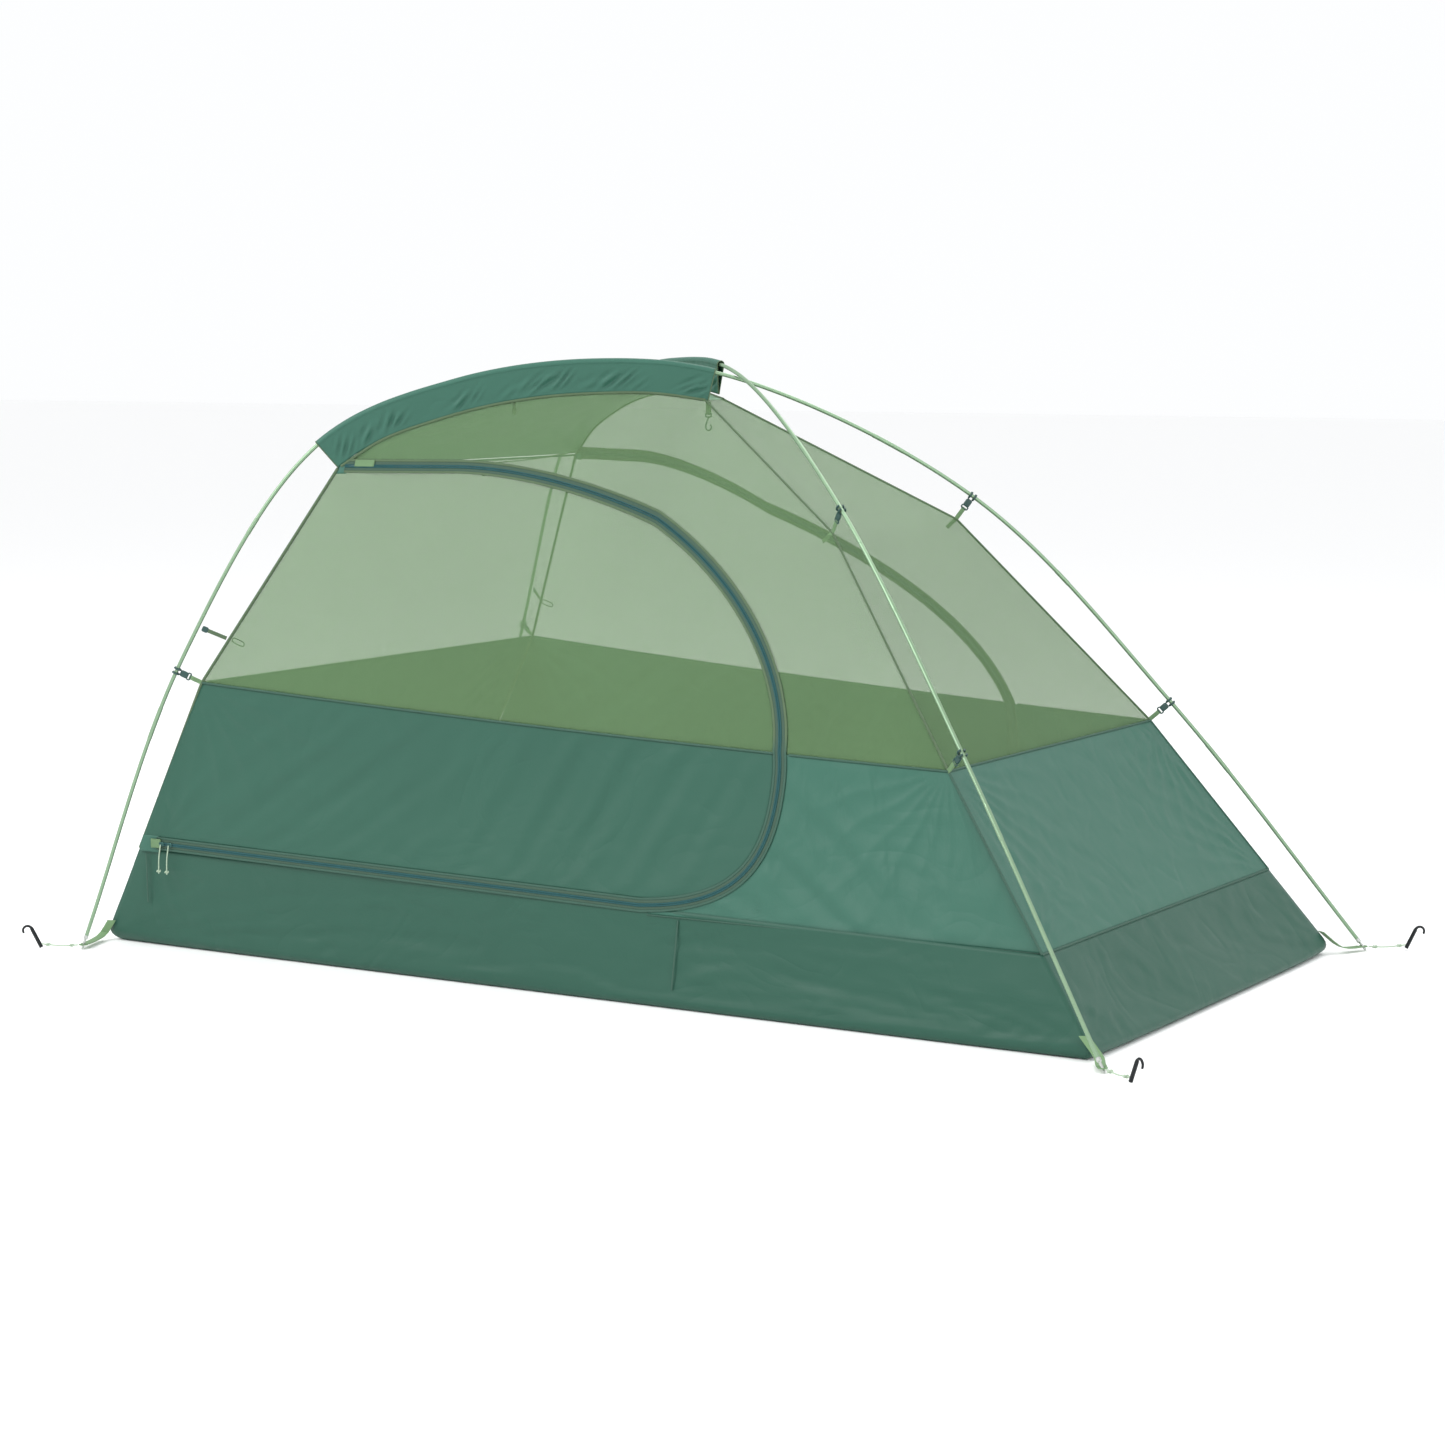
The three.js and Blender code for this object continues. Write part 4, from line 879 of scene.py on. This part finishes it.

# ---------------------------------------------------------------- doors
# Each door is coated cloth below and netting above, sewn along the head corner seam.


def door_grid(sign, low, high, rows, amplitude, seed):
    """Level rows from the head corner seam to the door's edge, between two heights given as
    shares: 0 at the zip's bottom run, 1 at the tub line, 2 at the zip's top run."""
    under_tape = TAPE_LAP - ZIP_HALF_WIDTH
    inner = zip_side(under_tape)
    v = np.linspace(low, high, rows)[:, None]
    u = np.linspace(0, 1, 170)[None, :]
    top_height = inner[:TOP_POINTS, 1].mean()
    bottom = inner[-BOTTOM_POINTS:]
    low_height = inner[-BOTTOM_POINTS - 1, 1]
    lift = np.clip(v - 1, 0, 1)
    curve = 1 - (1 - lift) ** 1.8
    z_edge = tub_line(widest[0]) + (top_height - tub_line(widest[0])) * curve
    x_upper = np.where(lift >= 1, top_end[0], edge_x(z_edge, under_tape))
    low_share = np.clip(v, 0, 1)
    z_low = low_height + (tub_line(widest[0]) - low_height) * low_share
    x_edge = np.where(v > 1, x_upper, edge_x(z_low, under_tape))
    z_seam = np.where(v > 1, tub_head[2] + (top_height - tub_head[2]) * curve,
                      bottom[-1, 1] + (tub_head[2] - bottom[-1, 1]) * low_share)
    x_seam = seam_x(z_seam) + 0.002
    x = x_seam + (x_edge - x_seam) * u
    z_bottom = np.interp(x, bottom[::-1, 0], bottom[::-1, 1])
    z_middle = tub_line(x)
    z_up = z_middle + (top_height - z_middle) * curve
    z_down = z_bottom + (z_middle - z_bottom) * low_share
    z = np.where(v > 1, z_up, z_down)
    anchors = [(tub_head[0], tub_head[2]), (start[0], start[1]), (canopy_head[0], canopy_head[2])]
    fold = creases(x, z, anchors, amplitude, 18, 0.30, 1.2)
    fold += ripples(x, z, amplitude * 0.3, 0.34, seed)
    fold += pulled(x, z, 62, amplitude * 0.35, 0.085, (0.02, 0.36), 0.28)
    fold += pulled(x, z, 35, amplitude * 0.25, 0.07, (-0.60, 0.32), 0.20)
    share = (v - low) / (high - low)
    out = fold * at_edges(u, 0.05) * at_edges(share, 0.08) - 0.010 * belly(share, u)
    return on_wall(x, z, out, sign)


def joint_of(body):
    """The joint that a body moves on."""
    return next(j for j in frame["joints"] if j["child"] == body)


def axis_of(body):
    """The unit axis that a body turns round or slides along."""
    return unit(np.array(joint_of(body)["axis"], float))


def bend_door(piece):
    """Bakes the piece's placement into its mesh."""
    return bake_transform(piece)


DOOR_PANELS = (
    ("door_panel", "door_cloth", (0, 1, 60, 0.0055, 41), CLOTH_THICKNESS, door_nylon, "coated_cloth"),
    ("door_netting", "door_mesh", (1, 2, 90, 0.006, 43), NETTING_THICKNESS, netting, "mesh_fabric"),
)
for side_name, sign in SIDES.items():
    for name, node, shape, thickness, material, slot in DOOR_PANELS:
        grid = door_grid(sign, *shape)
        piece = grid_piece(f"{name}_{side_name}", grid, thickness=thickness, body=None)
        bend_door(piece)
        finish_with(piece, material)
        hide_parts(f"{node}_{side_name}")

# ---------------------------------------------------------------- zips
# A nylon coil zip sewn on with two tapes, whose outer edges are bound. The outer tape and its row of
# teeth are fixed to the tent; the inner ones are on no body.

TOOTH_PITCH = 0.0017
COIL_RADIUS = 0.0019
COIL_OFFSET = 0.0016
TAPE_OUT = 0.0012  # the tapes lie this far off the wall
COIL_OUT = TAPE_OUT + 0.0012

zip_tape = woven("zip tape", linear(48, 78, 62), 0.6, amount=0.12, size=30, fine=650, bump=0.4,
                 distance=0.0004)
coil_nylon = tinted("coil nylon", linear(38, 84, 86), 0.5, 60, 0.3, Specular_IOR_Level=0.3)[0]
zip_edge = woven("zip edge tape", TAPE_GREEN, 0.7, amount=0.2, **TAPE)


def ramp(nodes, *stops):
    """A colour ramp between two stops, each of which is a place and a colour."""
    node = nodes.new("ShaderNodeValToRGB")
    for element, (place, colour) in zip(node.color_ramp.elements, stops):
        element.position = place
        element.color = colour
    return node


# the bound edge is the darker green of the lower wall below the tub line, and lighter above it
nodes, links = zip_edge.node_tree.nodes, zip_edge.node_tree.links
shade = next(n for n in nodes if n.type == "GROUP" and n.node_tree == tint)
place = nodes.new("ShaderNodeTexCoord")
height = nodes.new("ShaderNodeSeparateXYZ")
by_height = ramp(nodes, (0.47, WALL_TAPE_GREEN), (0.50, TAPE_GREEN))
links.new(place.outputs["Object"], height.inputs["Vector"])
links.new(height.outputs["Z"], by_height.inputs["Fac"])
links.new(by_height.outputs["Color"], shade.inputs["Colour"])


def tape_grid(near, far, sign, columns=5):
    """A strip of the wall between two distances from the zip's line, raised a little."""
    lines = [zip_side(near + (far - near) * k / (columns - 1)) for k in range(columns)]
    flat = np.stack(lines, axis=1)
    bulge = 0.0006 * np.sin(np.pi * np.linspace(0, 1, columns))[None, :]
    return on_wall(flat[..., 0], flat[..., 1], TAPE_OUT + bulge, sign)


def coil_line(distance, sign):
    """The middle of a row of teeth, with two points for each tooth; the inner row starts half a
    tooth later, so that the rows mesh."""
    flat = zip_side(distance)
    line = on_wall(flat[:, 0], flat[:, 1], COIL_OUT, sign)
    first = TOOTH_PITCH / 2 * (distance < 0)
    return points_at(line, np.arange(first, run_of(line)[-1], TOOTH_PITCH / 2))


def wall_frames(line, sign):
    """Directions across a line on a long wall: out of the wall, and square to that."""
    tangent = unit(np.gradient(line, axis=0))
    outwards = np.array([0, sign, 0.25])
    out = unit(outwards - tangent * (tangent @ outwards)[:, None])
    return out, np.cross(tangent, out)


for side_name, sign in SIDES.items():
    for row, way in (("outer", 1), ("inner", -1)):
        body = "root" if way > 0 else None
        tape = grid_piece(f"zip_tape_{row}_{side_name}",
                          tape_grid(way * 0.0002, way * 0.0095, sign), thickness=0.0007, body=body)
        bound = grid_piece(f"zip_edge_{row}_{side_name}",
                           tape_grid(way * 0.0088, way * ZIP_HALF_WIDTH, sign), thickness=0.0016,
                           body=body)
        line = coil_line(way * COIL_OFFSET, sign)
        teeth = np.where(np.arange(len(line)) % 2, COIL_RADIUS, COIL_RADIUS * 0.72)
        coil = tube(f"zip_coil_{row}_{side_name}", line, teeth, 6, body, wall_frames(line, sign))
        for piece, material in ((tape, zip_tape), (bound, zip_edge), (coil, coil_nylon)):
            if way < 0:
                bend_door(piece)
            finish_with(piece, material)
        if way > 0:
            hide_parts(f"zip_band_{side_name}")

# ---------------------------------------------------------------- ends of the zips
# Cloth patches close the wall between the zip's two ends and the head corner seam. A webbing
# tab is folded over each end, and a welt runs down the tray beside the lower one.

webbing = woven("webbing", linear(108, 140, 100), 0.75, amount=0.15, size=60, fine=420, bump=0.7,
                distance=0.0006)


PATCH_THICKNESS = 0.0009
WEBBING_THICKNESS = 0.0022


def patch(name, x_range, z_range, sign, out, material, thickness=PATCH_THICKNESS):
    """A small piece of the wall between two x and two heights, held off it by out."""
    share, z = np.meshgrid(np.linspace(0, 1, 12), np.linspace(*z_range, 8))
    left = np.maximum(x_range[0], seam_x(z) + 0.001)
    x = left + (x_range[1] - left) * share
    finish_with(grid_piece(name, on_wall(x, z, out, sign), thickness=thickness), material)


for side_name, sign in SIDES.items():
    patch(f"zip_end_low_{side_name}", (seam_x(start[1]) - 0.002, start[0] + 0.004),
          (RIM_HEAD - 0.006, start[1] + ZIP_HALF_WIDTH + 0.002), sign, 0.0004, coated_cloth)
    patch(f"zip_end_high_{side_name}", (canopy_head[0] - 0.002, top[0] + 0.004),
          (top[1] - ZIP_HALF_WIDTH - 0.002, top[1] + ZIP_HALF_WIDTH), sign, 0.0004, coated_cloth)
    patch(f"zip_tab_low_{side_name}", (start[0] - 0.012, start[0] + 0.012),
          (start[1] - 0.009, start[1] + 0.009), sign, 0.0045, webbing,
          WEBBING_THICKNESS)
    patch(f"zip_tab_high_{side_name}", (top[0] + 0.019, top[0] + 0.056),
          (top[1] - 0.001, top[1] + 0.012), sign, 0.0035, webbing,
          WEBBING_THICKNESS)
    for name, x, heights, out, radius in (
            ("tray_welt", seam_x(RIM_HEAD) + 0.022, np.linspace(0.088, 0.186, 24), 0.003, 0.0016),
            ("tray_seam", 0.214, np.linspace(0.036, 0.160, 30), 0.0012, 0.0015)):
        welt = tube(f"{name}_{side_name}", on_wall(x, heights, out, sign), radius, 8, flat=0.6)
        finish_with(welt, wall_tape)

# ---------------------------------------------------------------- roof and pole sleeves
# Coated cloth between the ridge seams, and a sleeve over each pole: a tunnel round the pole
# whose two layers are sewn together below it and run down to the ridge seam.

SLEEVE_RADIUS = 0.0074
SLEEVE_DEPTH = 0.059
SLEEVE_THICKNESS = 0.0007
SLEEVE_SHORT = {"front": 0.004, "rear": 0.028}  # the rear one stays behind the front one
# The roof is the coated nylon made much lighter: painted light, for the daylight that shines through
# the thin roof seen from below.
roof_cloth_painted_backlight = woven("roof nylon painted backlight", linear(124, 162, 132), 0.55, **RIPSTOP, Sheen_Weight=0.1)


def roof_grid():
    """Rows from the head end to the peak; each row crosses between the ridge seams and droops
    in its middle by a share of its width, except at the head, where it is sewn to the netting."""
    v = np.linspace(0, 1, 80)
    line = smooth_line(ridge, 80)
    u = np.linspace(-1, 1, 90)
    x = np.repeat(line[:, 0:1], 90, axis=1)
    y = line[:, 1:2] * u[None, :]
    droop = 0.035 * np.clip(v / 0.25, 0, 1)[:, None]
    z = line[:, 2:3] - droop * line[:, 1:2] * (1 - u[None, :] ** 2)
    fold = creases(x, y, [(line[0, 0], line[0, 1]), (line[0, 0], -line[0, 1]), (line[-1, 0], 0)],
                   0.008, 20, 0.20, 1.2) + ripples(x, y, 0.002, 0.25, 51)
    z = z + fold * at_edges((u + 1) / 2)[None, :] * at_edges(v)[:, None]
    return np.stack([x, y, z], axis=-1)


panel("roof_cloth_painted_backlight", roof_grid(), CLOTH_THICKNESS, roof_cloth_painted_backlight,
      "roof_panel")


def sleeve_grid(line):
    """An outline carried along the pole: up one layer of the skirt, round the tunnel and down
    the other layer, which close in on each other towards the seam. The skirt is puckered by
    short slanted folds, sin(2 pi (s cos t + b sin t) / length), each kept to a patch of it."""
    _, side, rise = along_frames(line)
    angle = np.linspace(-0.15, np.pi + 0.15, 26)
    share = np.linspace(1, 0, 16)
    wide, drop = SLEEVE_RADIUS * math.cos(angle[0]), SLEEVE_RADIUS * math.sin(angle[0])
    skirt_a = 0.0007 + (wide - 0.0007) * (1 - share) ** 1.1
    skirt_b = drop - (SLEEVE_DEPTH + drop) * share
    a = np.concatenate([skirt_a, SLEEVE_RADIUS * np.cos(angle), -skirt_a[::-1]])
    b = np.concatenate([skirt_b, SLEEVE_RADIUS * np.sin(angle), skirt_b[::-1]])
    below = np.clip(-b / SLEEVE_DEPTH, 0, 1)[None, :]
    run = run_of(line)[:, None]
    fold = np.zeros((len(line), len(a)))
    place = np.random.default_rng(7)
    for _ in range(26):
        middle, deep = place.uniform(0, run[-1, 0]), place.uniform(0.030, 0.056)
        slant, length = math.radians(place.uniform(22, 50)), place.uniform(0.010, 0.024)
        over = (run - middle) * math.sin(slant) + (b[None, :] + deep) * math.cos(slant)
        along = (run - middle) * math.cos(slant) - (b[None, :] + deep) * math.sin(slant)
        patch_of_it = np.exp(-(over / length) ** 2 - (along / 0.026) ** 2)
        fold += np.cos(2 * np.pi * over / length) * patch_of_it
    pucker = 0.0034 * fold * np.sin(np.pi * below) * at_edges(run / run[-1, 0], 0.03)
    across = a[None, :] + pucker * (1.2 - 0.4 * below)
    return (line[:, None] + across[..., None] * side[:, None]
            + (b[None, :] * np.ones_like(run))[..., None] * rise[:, None])


for side_name, letter in (("front", "b"), ("rear", "a")):
    low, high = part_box(f"pole_sleeve_{side_name}")
    line = POLES[letter]
    line = line[(line[:, 0] > low[0] + 0.006) & (line[:, 0] < high[0] - SLEEVE_SHORT[side_name])]
    grid = sleeve_grid(line)
    panel(f"sleeve_cloth_{side_name}", grid, SLEEVE_THICKNESS,
          coated_cloth, f"pole_sleeve_{side_name}")
    for end, rim in (("mouth", grid[0]), ("head", grid[-1])):
        hem = tube(f"sleeve_hem_{end}_{side_name}", rim, 0.0011, 8)
        finish_with(hem, binding_tape)

# ---------------------------------------------------------------- bound seams
# Narrow binding tape is folded over every seam: along the ridges, the corners, the top of the
# lower walls, the rim of the tray and the seams that run from the peak to the clips.

SEAM_RADIUS = 0.0022


def polyline(points, count):
    """Points spaced evenly along straight runs."""
    p = np.asarray(points, float)
    return points_at(p, np.linspace(0, run_of(p)[-1], count))


def seam(name, line, bend_sign=0, radius=SEAM_RADIUS, tape=binding_tape):
    """Binding along a line; with a sign, it is on no body."""
    piece = tube(name, line, radius, 8, None if bend_sign else "root")
    if bend_sign:
        bend_door(piece)
    finish_with(piece, tape)


for side_name, sign in SIDES.items():
    turn = np.array([1, sign, 1])
    seam(f"seam_ridge_{side_name}", smooth_line(ridge, 90) * turn, radius=0.0032)
    seam(f"seam_peak_{side_name}", polyline([ridge[-1], canopy_foot, tub_foot], 90) * turn)
    seam(f"seam_head_{side_name}", polyline([rim_head, tub_head, canopy_head], 80) * turn, radius=0.003)
    seam(f"seam_foot_{side_name}", polyline([rim_foot, tub_foot], 50) * turn, tape=wall_tape)
    x = np.linspace(widest[0] + 0.014, tub_foot[0], 50)
    seam(f"seam_tub_{side_name}", on_wall(x, tub_line(x), 0.001, sign), tape=wall_tape)
    x = np.linspace(tub_head[0] + 0.002, edge_x(tub_line(widest[0]), -ZIP_HALF_WIDTH), 120)
    seam(f"seam_door_{side_name}", on_wall(x, tub_line(x), 0.001, sign), sign, tape=wall_tape)
    x = np.linspace(bottom_end[0] + 0.02, rim_foot[0], 60)
    seam(f"seam_rim_{side_name}", on_wall(x, RIM_FOOT, 0.001, sign), radius=0.0014,
         tape=wall_tape)
for name, corner in (("foot_tub", tub_foot), ("head_tub", tub_head), ("foot_rim", rim_foot),
                     ("head_rim", rim_head), ("head_top", canopy_head)):
    seam(f"seam_{name}", polyline([corner * (1, -1, 1), corner], 60), tape=wall_tape)

# ---------------------------------------------------------------- pole clips
# Moulded clips that snap under the poles: two open hooks on a short body, a loop below, and a
# webbing tab from the loop to the corner of the canopy.

HOOK_RADIUS = 0.0067
HOOK_WIRE = 0.0020
HOOK_MOUTH = 0.62
HOOK_SPREAD = 0.0047
CLIP_REACH = 0.055

clip_plastic, nodes, links, shader, place = tinted("moulded clip", linear(34, 68, 64), 0.42, 120,
                                                   0.25)
grain = fill(nodes.new("ShaderNodeTexNoise"), Scale=1400)
relief = fill(nodes.new("ShaderNodeBump"), Strength=0.2, Distance=0.0002)
links.new(place.outputs["Object"], grain.inputs["Vector"])
links.new(grain.outputs["Fac"], relief.inputs["Height"])
links.new(relief.outputs["Normal"], shader.inputs["Normal"])


def joined(name, pieces):
    """One piece made of several closed bodies."""
    work = bmesh.new()
    for piece in pieces:
        work.from_mesh(piece.data)
    first = pieces[0]
    work.to_mesh(first.data)
    work.free()
    for piece in pieces[1:]:
        bpy.data.objects.remove(piece)
    first.name = name
    return first


def block(name, centre, axes, half, length, body="root"):
    """A rounded bar: the outline |x/a|^3 + |y/b|^3 = 1 carried along the third axis, drawn in
    at both ends. half gives a and b."""
    angle = np.linspace(0, 2 * np.pi, 24, endpoint=False)
    c, s = np.cos(angle), np.sin(angle)
    round_x = np.sign(c) * np.abs(c) ** (2 / 3) * half[0]
    round_y = np.sign(s) * np.abs(s) ** (2 / 3) * half[1]
    t = np.linspace(-1, 1, 11)
    shrink = (1 - np.abs(t) ** 6 * 0.35)[:, None]
    x, y, z = (np.asarray(axis, float) for axis in axes)
    grid = (np.asarray(centre) + shrink[..., None] * (round_x[None, :, None] * x
            + round_y[None, :, None] * y) + (t * length / 2)[:, None, None] * z)
    return grid_piece(name, grid, wrap=True, capped=True, body=body)


def ring_line(centre, a, b, half_a, half_b):
    """An oval that closes on itself, in the plane of two directions."""
    angle = np.linspace(0, 2 * np.pi, 41)
    c, s = np.cos(angle), np.sin(angle)
    x = np.sign(c) * np.abs(c) ** 0.6 * half_a
    y = np.sign(s) * np.abs(s) ** 0.6 * half_b
    return np.asarray(centre) + x[:, None] * a + y[:, None] * b


def flat_frames(line, way):
    """Directions across a line that lies flat: square to it in its plane, and out of its plane."""
    return unit(np.cross(np.gradient(line, axis=0), way)), np.repeat(way[None], len(line), axis=0)


def clip_parts(node, line):
    """Makes a clip at the place on the pole whose square plane holds the solid clip."""
    middle = corners_of(node).mean(axis=0)
    tangent, side, rise = along_frames(line)
    off = np.abs(((middle - line) * tangent).sum(axis=1))
    off[np.linalg.norm(middle - line, axis=1) > 0.08] = 1
    k = int(np.argmin(off))
    centre, t, s, r = line[k], tangent[k], side[k], rise[k]
    angle = np.linspace(np.pi / 2 + HOOK_MOUTH, np.pi * 2.5 - HOOK_MOUTH, 40)
    arc = HOOK_RADIUS * (np.cos(angle)[:, None] * s + np.sin(angle)[:, None] * r)
    parts = []
    for n, way in enumerate((-1, 1)):
        hook = centre + arc + way * HOOK_SPREAD * t
        parts.append(tube(f"{node}_hook_{n}", hook, HOOK_WIRE, 10,
                          frames=(np.repeat(t[None], 40, axis=0), arc / HOOK_RADIUS)))
    parts.append(block(f"{node}_body", centre - r * 0.0165, (t, s, r), (0.0066, 0.0032), 0.0165))
    loop = ring_line(centre - r * 0.0265, t, r, 0.0066, 0.0036)
    parts.append(tube(f"{node}_loop", loop, 0.0014, 8, frames=flat_frames(loop, s)))
    return parts, centre, t, s, r


CLIPS = {"foot_lower_front": "a", "foot_upper_front": "a", "foot_lower_rear": "b",
         "foot_upper_rear": "b", "head_front": "b", "head_rear": "a"}
for clip_name, letter in CLIPS.items():
    node = f"pole_clip_{clip_name}"
    parts, centre, t, s, r = clip_parts(node, POLES[letter])
    clip = joined(f"clip_{clip_name}", parts)
    finish_with(clip, clip_plastic)
    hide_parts(node)
    down = np.linspace(0.0275, CLIP_REACH, 14)
    strip = centre - down[:, None] * r
    edge = np.linspace(-0.0042, 0.0042, 5)
    grid = strip[:, None] + edge[None, :, None] * t + (0.0006 * np.sin(down * 300))[:, None, None] * s
    tab = grid_piece(f"clip_tab_{clip_name}", grid, thickness=WEBBING_THICKNESS)
    finish_with(tab, webbing)
    if "upper" in clip_name:
        inward = np.array([-0.75, 0, -0.66])
        tail = centre - r * CLIP_REACH + np.linspace(0, 0.027, 8)[:, None] * inward
        tail = tail[:, None] + edge[None, :, None] * np.cross(inward, s)
        tail = grid_piece(f"clip_tail_{clip_name}", tail, thickness=0.0014)
        finish_with(tail, webbing)

# ---------------------------------------------------------------- corner webbing and stakes
# Webbing folded out from each floor corner with an eyelet for the pole's tip, and wire stakes
# whose bent heads face away from the tent.

STAKE_RADIUS = 0.0024
STAKE_SHOW = 0.056
STAKE_HOOK = 0.009
stake_steel, nodes, links, shader = new_material("coated steel", linear(26, 30, 32), 0.38, 0.6)
place = nodes.new("ShaderNodeTexCoord")
chips = fill(nodes.new("ShaderNodeTexNoise"), Scale=350, Detail=5)
bare = ramp(nodes, (0.60, linear(26, 30, 32)), (0.72, linear(58, 62, 64)))
links.new(place.outputs["Object"], chips.inputs["Vector"])
links.new(chips.outputs["Fac"], bare.inputs["Fac"])
links.new(bare.outputs["Color"], shader.inputs["Base Color"])
for end in ("foot", "head"):
    for side_name in SIDES:
        finish_with(frame["nodes"][f"corner_webbing_{end}_{side_name}"], webbing)
        body = f"{end}_{side_name}_stake"
        axis = axis_of(body)
        flat_out = np.array([axis[0], axis[1], 0]) / np.hypot(axis[0], axis[1])
        across = flat_out * axis[2] - np.array([0, 0, 1]) * np.hypot(axis[0], axis[1])
        points = corners_of(f"stake_{end}_{side_name}")
        base = points[np.argsort(points @ axis)[:8]].mean(axis=0)
        bend = base + axis * (STAKE_SHOW - STAKE_HOOK - 2 * STAKE_RADIUS)
        angle = np.linspace(0, 3.3, 26)[:, None]
        arc = bend + STAKE_HOOK * ((1 - np.cos(angle)) * across + np.sin(angle) * axis)
        line = np.concatenate([polyline([base, bend], 14)[:-1], arc])
        up, sideways = flat_frames(line, np.cross(across, axis))
        thick = np.interp(np.arange(len(line)), [0, 12, 16, len(line)],
                          [0.0040, 0.0038, 0.0026, 0.0022])
        piece = tube(f"wire_stake_{end}_{side_name}", line, thick, 14, body, (sideways, up))
        finish_with(piece, stake_steel)
        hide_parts(f"stake_{end}_{side_name}")

# ---------------------------------------------------------------- zip sliders
# Enamelled sliders: a wedge-shaped body over the coil and an arched bridge that holds the cord.

slider_metal = tinted("enamelled slider", linear(58, 96, 92), 0.3, 260, 0.4, 0.7)[0]
for number in (1, 2):
    for side_name, sign in SIDES.items():
        node = f"zip_slider_{number}_{side_name}"
        body = f"{side_name}_slider_{number}"
        run = axis_of(body)
        out = unit(np.cross(run, (0, 0, 1.0)) * -sign)
        rise = np.cross(out, run)
        low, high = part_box(node)
        centre = (np.array(low) + np.array(high)) / 2
        wedge = block(f"{node}_body", centre + out * 0.0008, (rise, out, run), (0.0044, 0.0016), 0.012,
                      body)
        angle = np.linspace(0, np.pi, 20)[:, None]
        arch = centre + run * 0.0042 * np.cos(angle) + out * (0.0020 + 0.0026 * np.sin(angle))
        bridge = tube(f"{node}_bridge", arch, 0.0009, 8, body, flat_frames(arch, rise)[::-1])
        whole = joined(f"slider_{number}_{side_name}", [wedge, bridge])
        finish_with(whole, slider_metal)
        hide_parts(node)

# ---------------------------------------------------------------- gear hook and roof strap
# Under the peak a moulded hook swings in a strap loop. A flat strap with a gear loop crosses
# under the roof at its head end, and another loop hangs from the front ridge seam.

pivot = np.array(joint_of("hook")["pos_m"])
finish_with(frame["nodes"]["gear_hook_strap"], binding_tape)
x_way, y_way, z_way = np.eye(3)
eye = ring_line(pivot - z_way * 0.0041, x_way, z_way, 0.0064, 0.0042)
angle = np.linspace(np.pi * 0.25, -np.pi, 30)[:, None]
hook_middle = pivot - z_way * 0.028
arc = hook_middle + 0.0064 * (np.cos(angle) * x_way + np.sin(angle) * z_way)
shank = polyline([arc[-1], arc[-1] + z_way * 0.004, pivot - z_way * 0.0084], 14)[1:]
hook_line = np.concatenate([arc, shank])
gear = joined("gear_hook_moulding", [
    tube(f"gear_hook_{part_name}", line, 0.0015, 10, "hook", flat_frames(line, y_way))
    for part_name, line in (("eye", eye), ("shank", hook_line))
])
finish_with(gear, clip_plastic)
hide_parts("gear_hook")


def strap(name, line, width_way, width, thickness, body="root"):
    """Flat webbing along a line, its width laid off along one direction."""
    edge = np.linspace(-width / 2, width / 2, 5)
    grid = line[:, None] + edge[None, :, None] * np.asarray(width_way, float)
    finish_with(grid_piece(name, grid, thickness=thickness, body=body), binding_tape)


def loop_line(top_point, down, reach, open_way, gap):
    """A hanging loop: a narrow drop shape, wide at its lower end."""
    t = np.linspace(0, 1, 30)[:, None]
    drop_share = np.sin(np.pi * t)
    spread = np.sin(2 * np.pi * t) * (0.35 + 0.65 * drop_share)
    return top_point + drop_share * reach * np.asarray(down) + spread * gap * np.asarray(open_way)


strap_end = ridge[0] * 0.75 + ridge[1] * 0.25
strap_line = polyline([strap_end * (1, -1, 1), strap_end], 41)
strap_line[:, 2] -= 0.006 + 0.035 * strap_end[1] * (1 - np.linspace(-1, 1, 41) ** 2)
strap_line[:, 0] += 0.03 * (1 - np.linspace(-1, 1, 41) ** 2)
strap("roof_strap", strap_line, (1, 0, 0), 0.009, 0.0012)
strap("roof_strap_loop", loop_line(strap_line[20], (0, 0, -1), 0.026, (0, 1, 0), 0.004),
      (1, 0, 0), 0.006, 0.001)
ridge_place = smooth_line(ridge, 90)[44] * (1, -1, 1)
strap("ridge_loop", loop_line(ridge_place, (0, 0, -1), 0.026, (1, 0, 0), 0.003),
      (0, 1, 0), 0.006, 0.001)

# ---------------------------------------------------------------- door toggles
# A moulded toggle on a short strap at each head corner seam, with a cord loop on the inside,
# that hold the door when it is rolled up.

for side_name, sign in SIDES.items():
    node = f"door_toggle_{side_name}"
    body = f"{side_name}_toggle"
    root_point = np.array(joint_of(body)["pos_m"])
    points = corners_of(node)
    far = points[np.argsort(np.linalg.norm(points - root_point, axis=1))[-4:]].mean(axis=0)
    way = far - root_point
    reach = float(np.linalg.norm(way))
    way /= reach
    side_way = unit(np.cross(way, z_way))
    rise = np.cross(side_way, way)
    shank = root_point + way * np.linspace(0.006, reach - 0.012, 16)[:, None]
    strap(f"toggle_strap_{side_name}", shank, rise, 0.0075, 0.0018, body)
    bar = block(f"toggle_bar_{side_name}", root_point + way * (reach - 0.0065), (rise, side_way, way),
                (0.0058, 0.0016), 0.0125, body)
    finish_with(bar, clip_plastic)
    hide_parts(node)
    inside = root_point + np.array([0.004, -sign * 0.004, 0])
    across = np.array([0.95, 0, -0.3])
    loop = ring_line(inside + across * 0.016, across, np.array([0.3, 0, 0.95]), 0.015, 0.005)
    piece = tube(f"toggle_loop_{side_name}", loop, 0.0012, 8, "root", flat_frames(loop, sign * y_way))
    finish_with(piece, binding_tape)
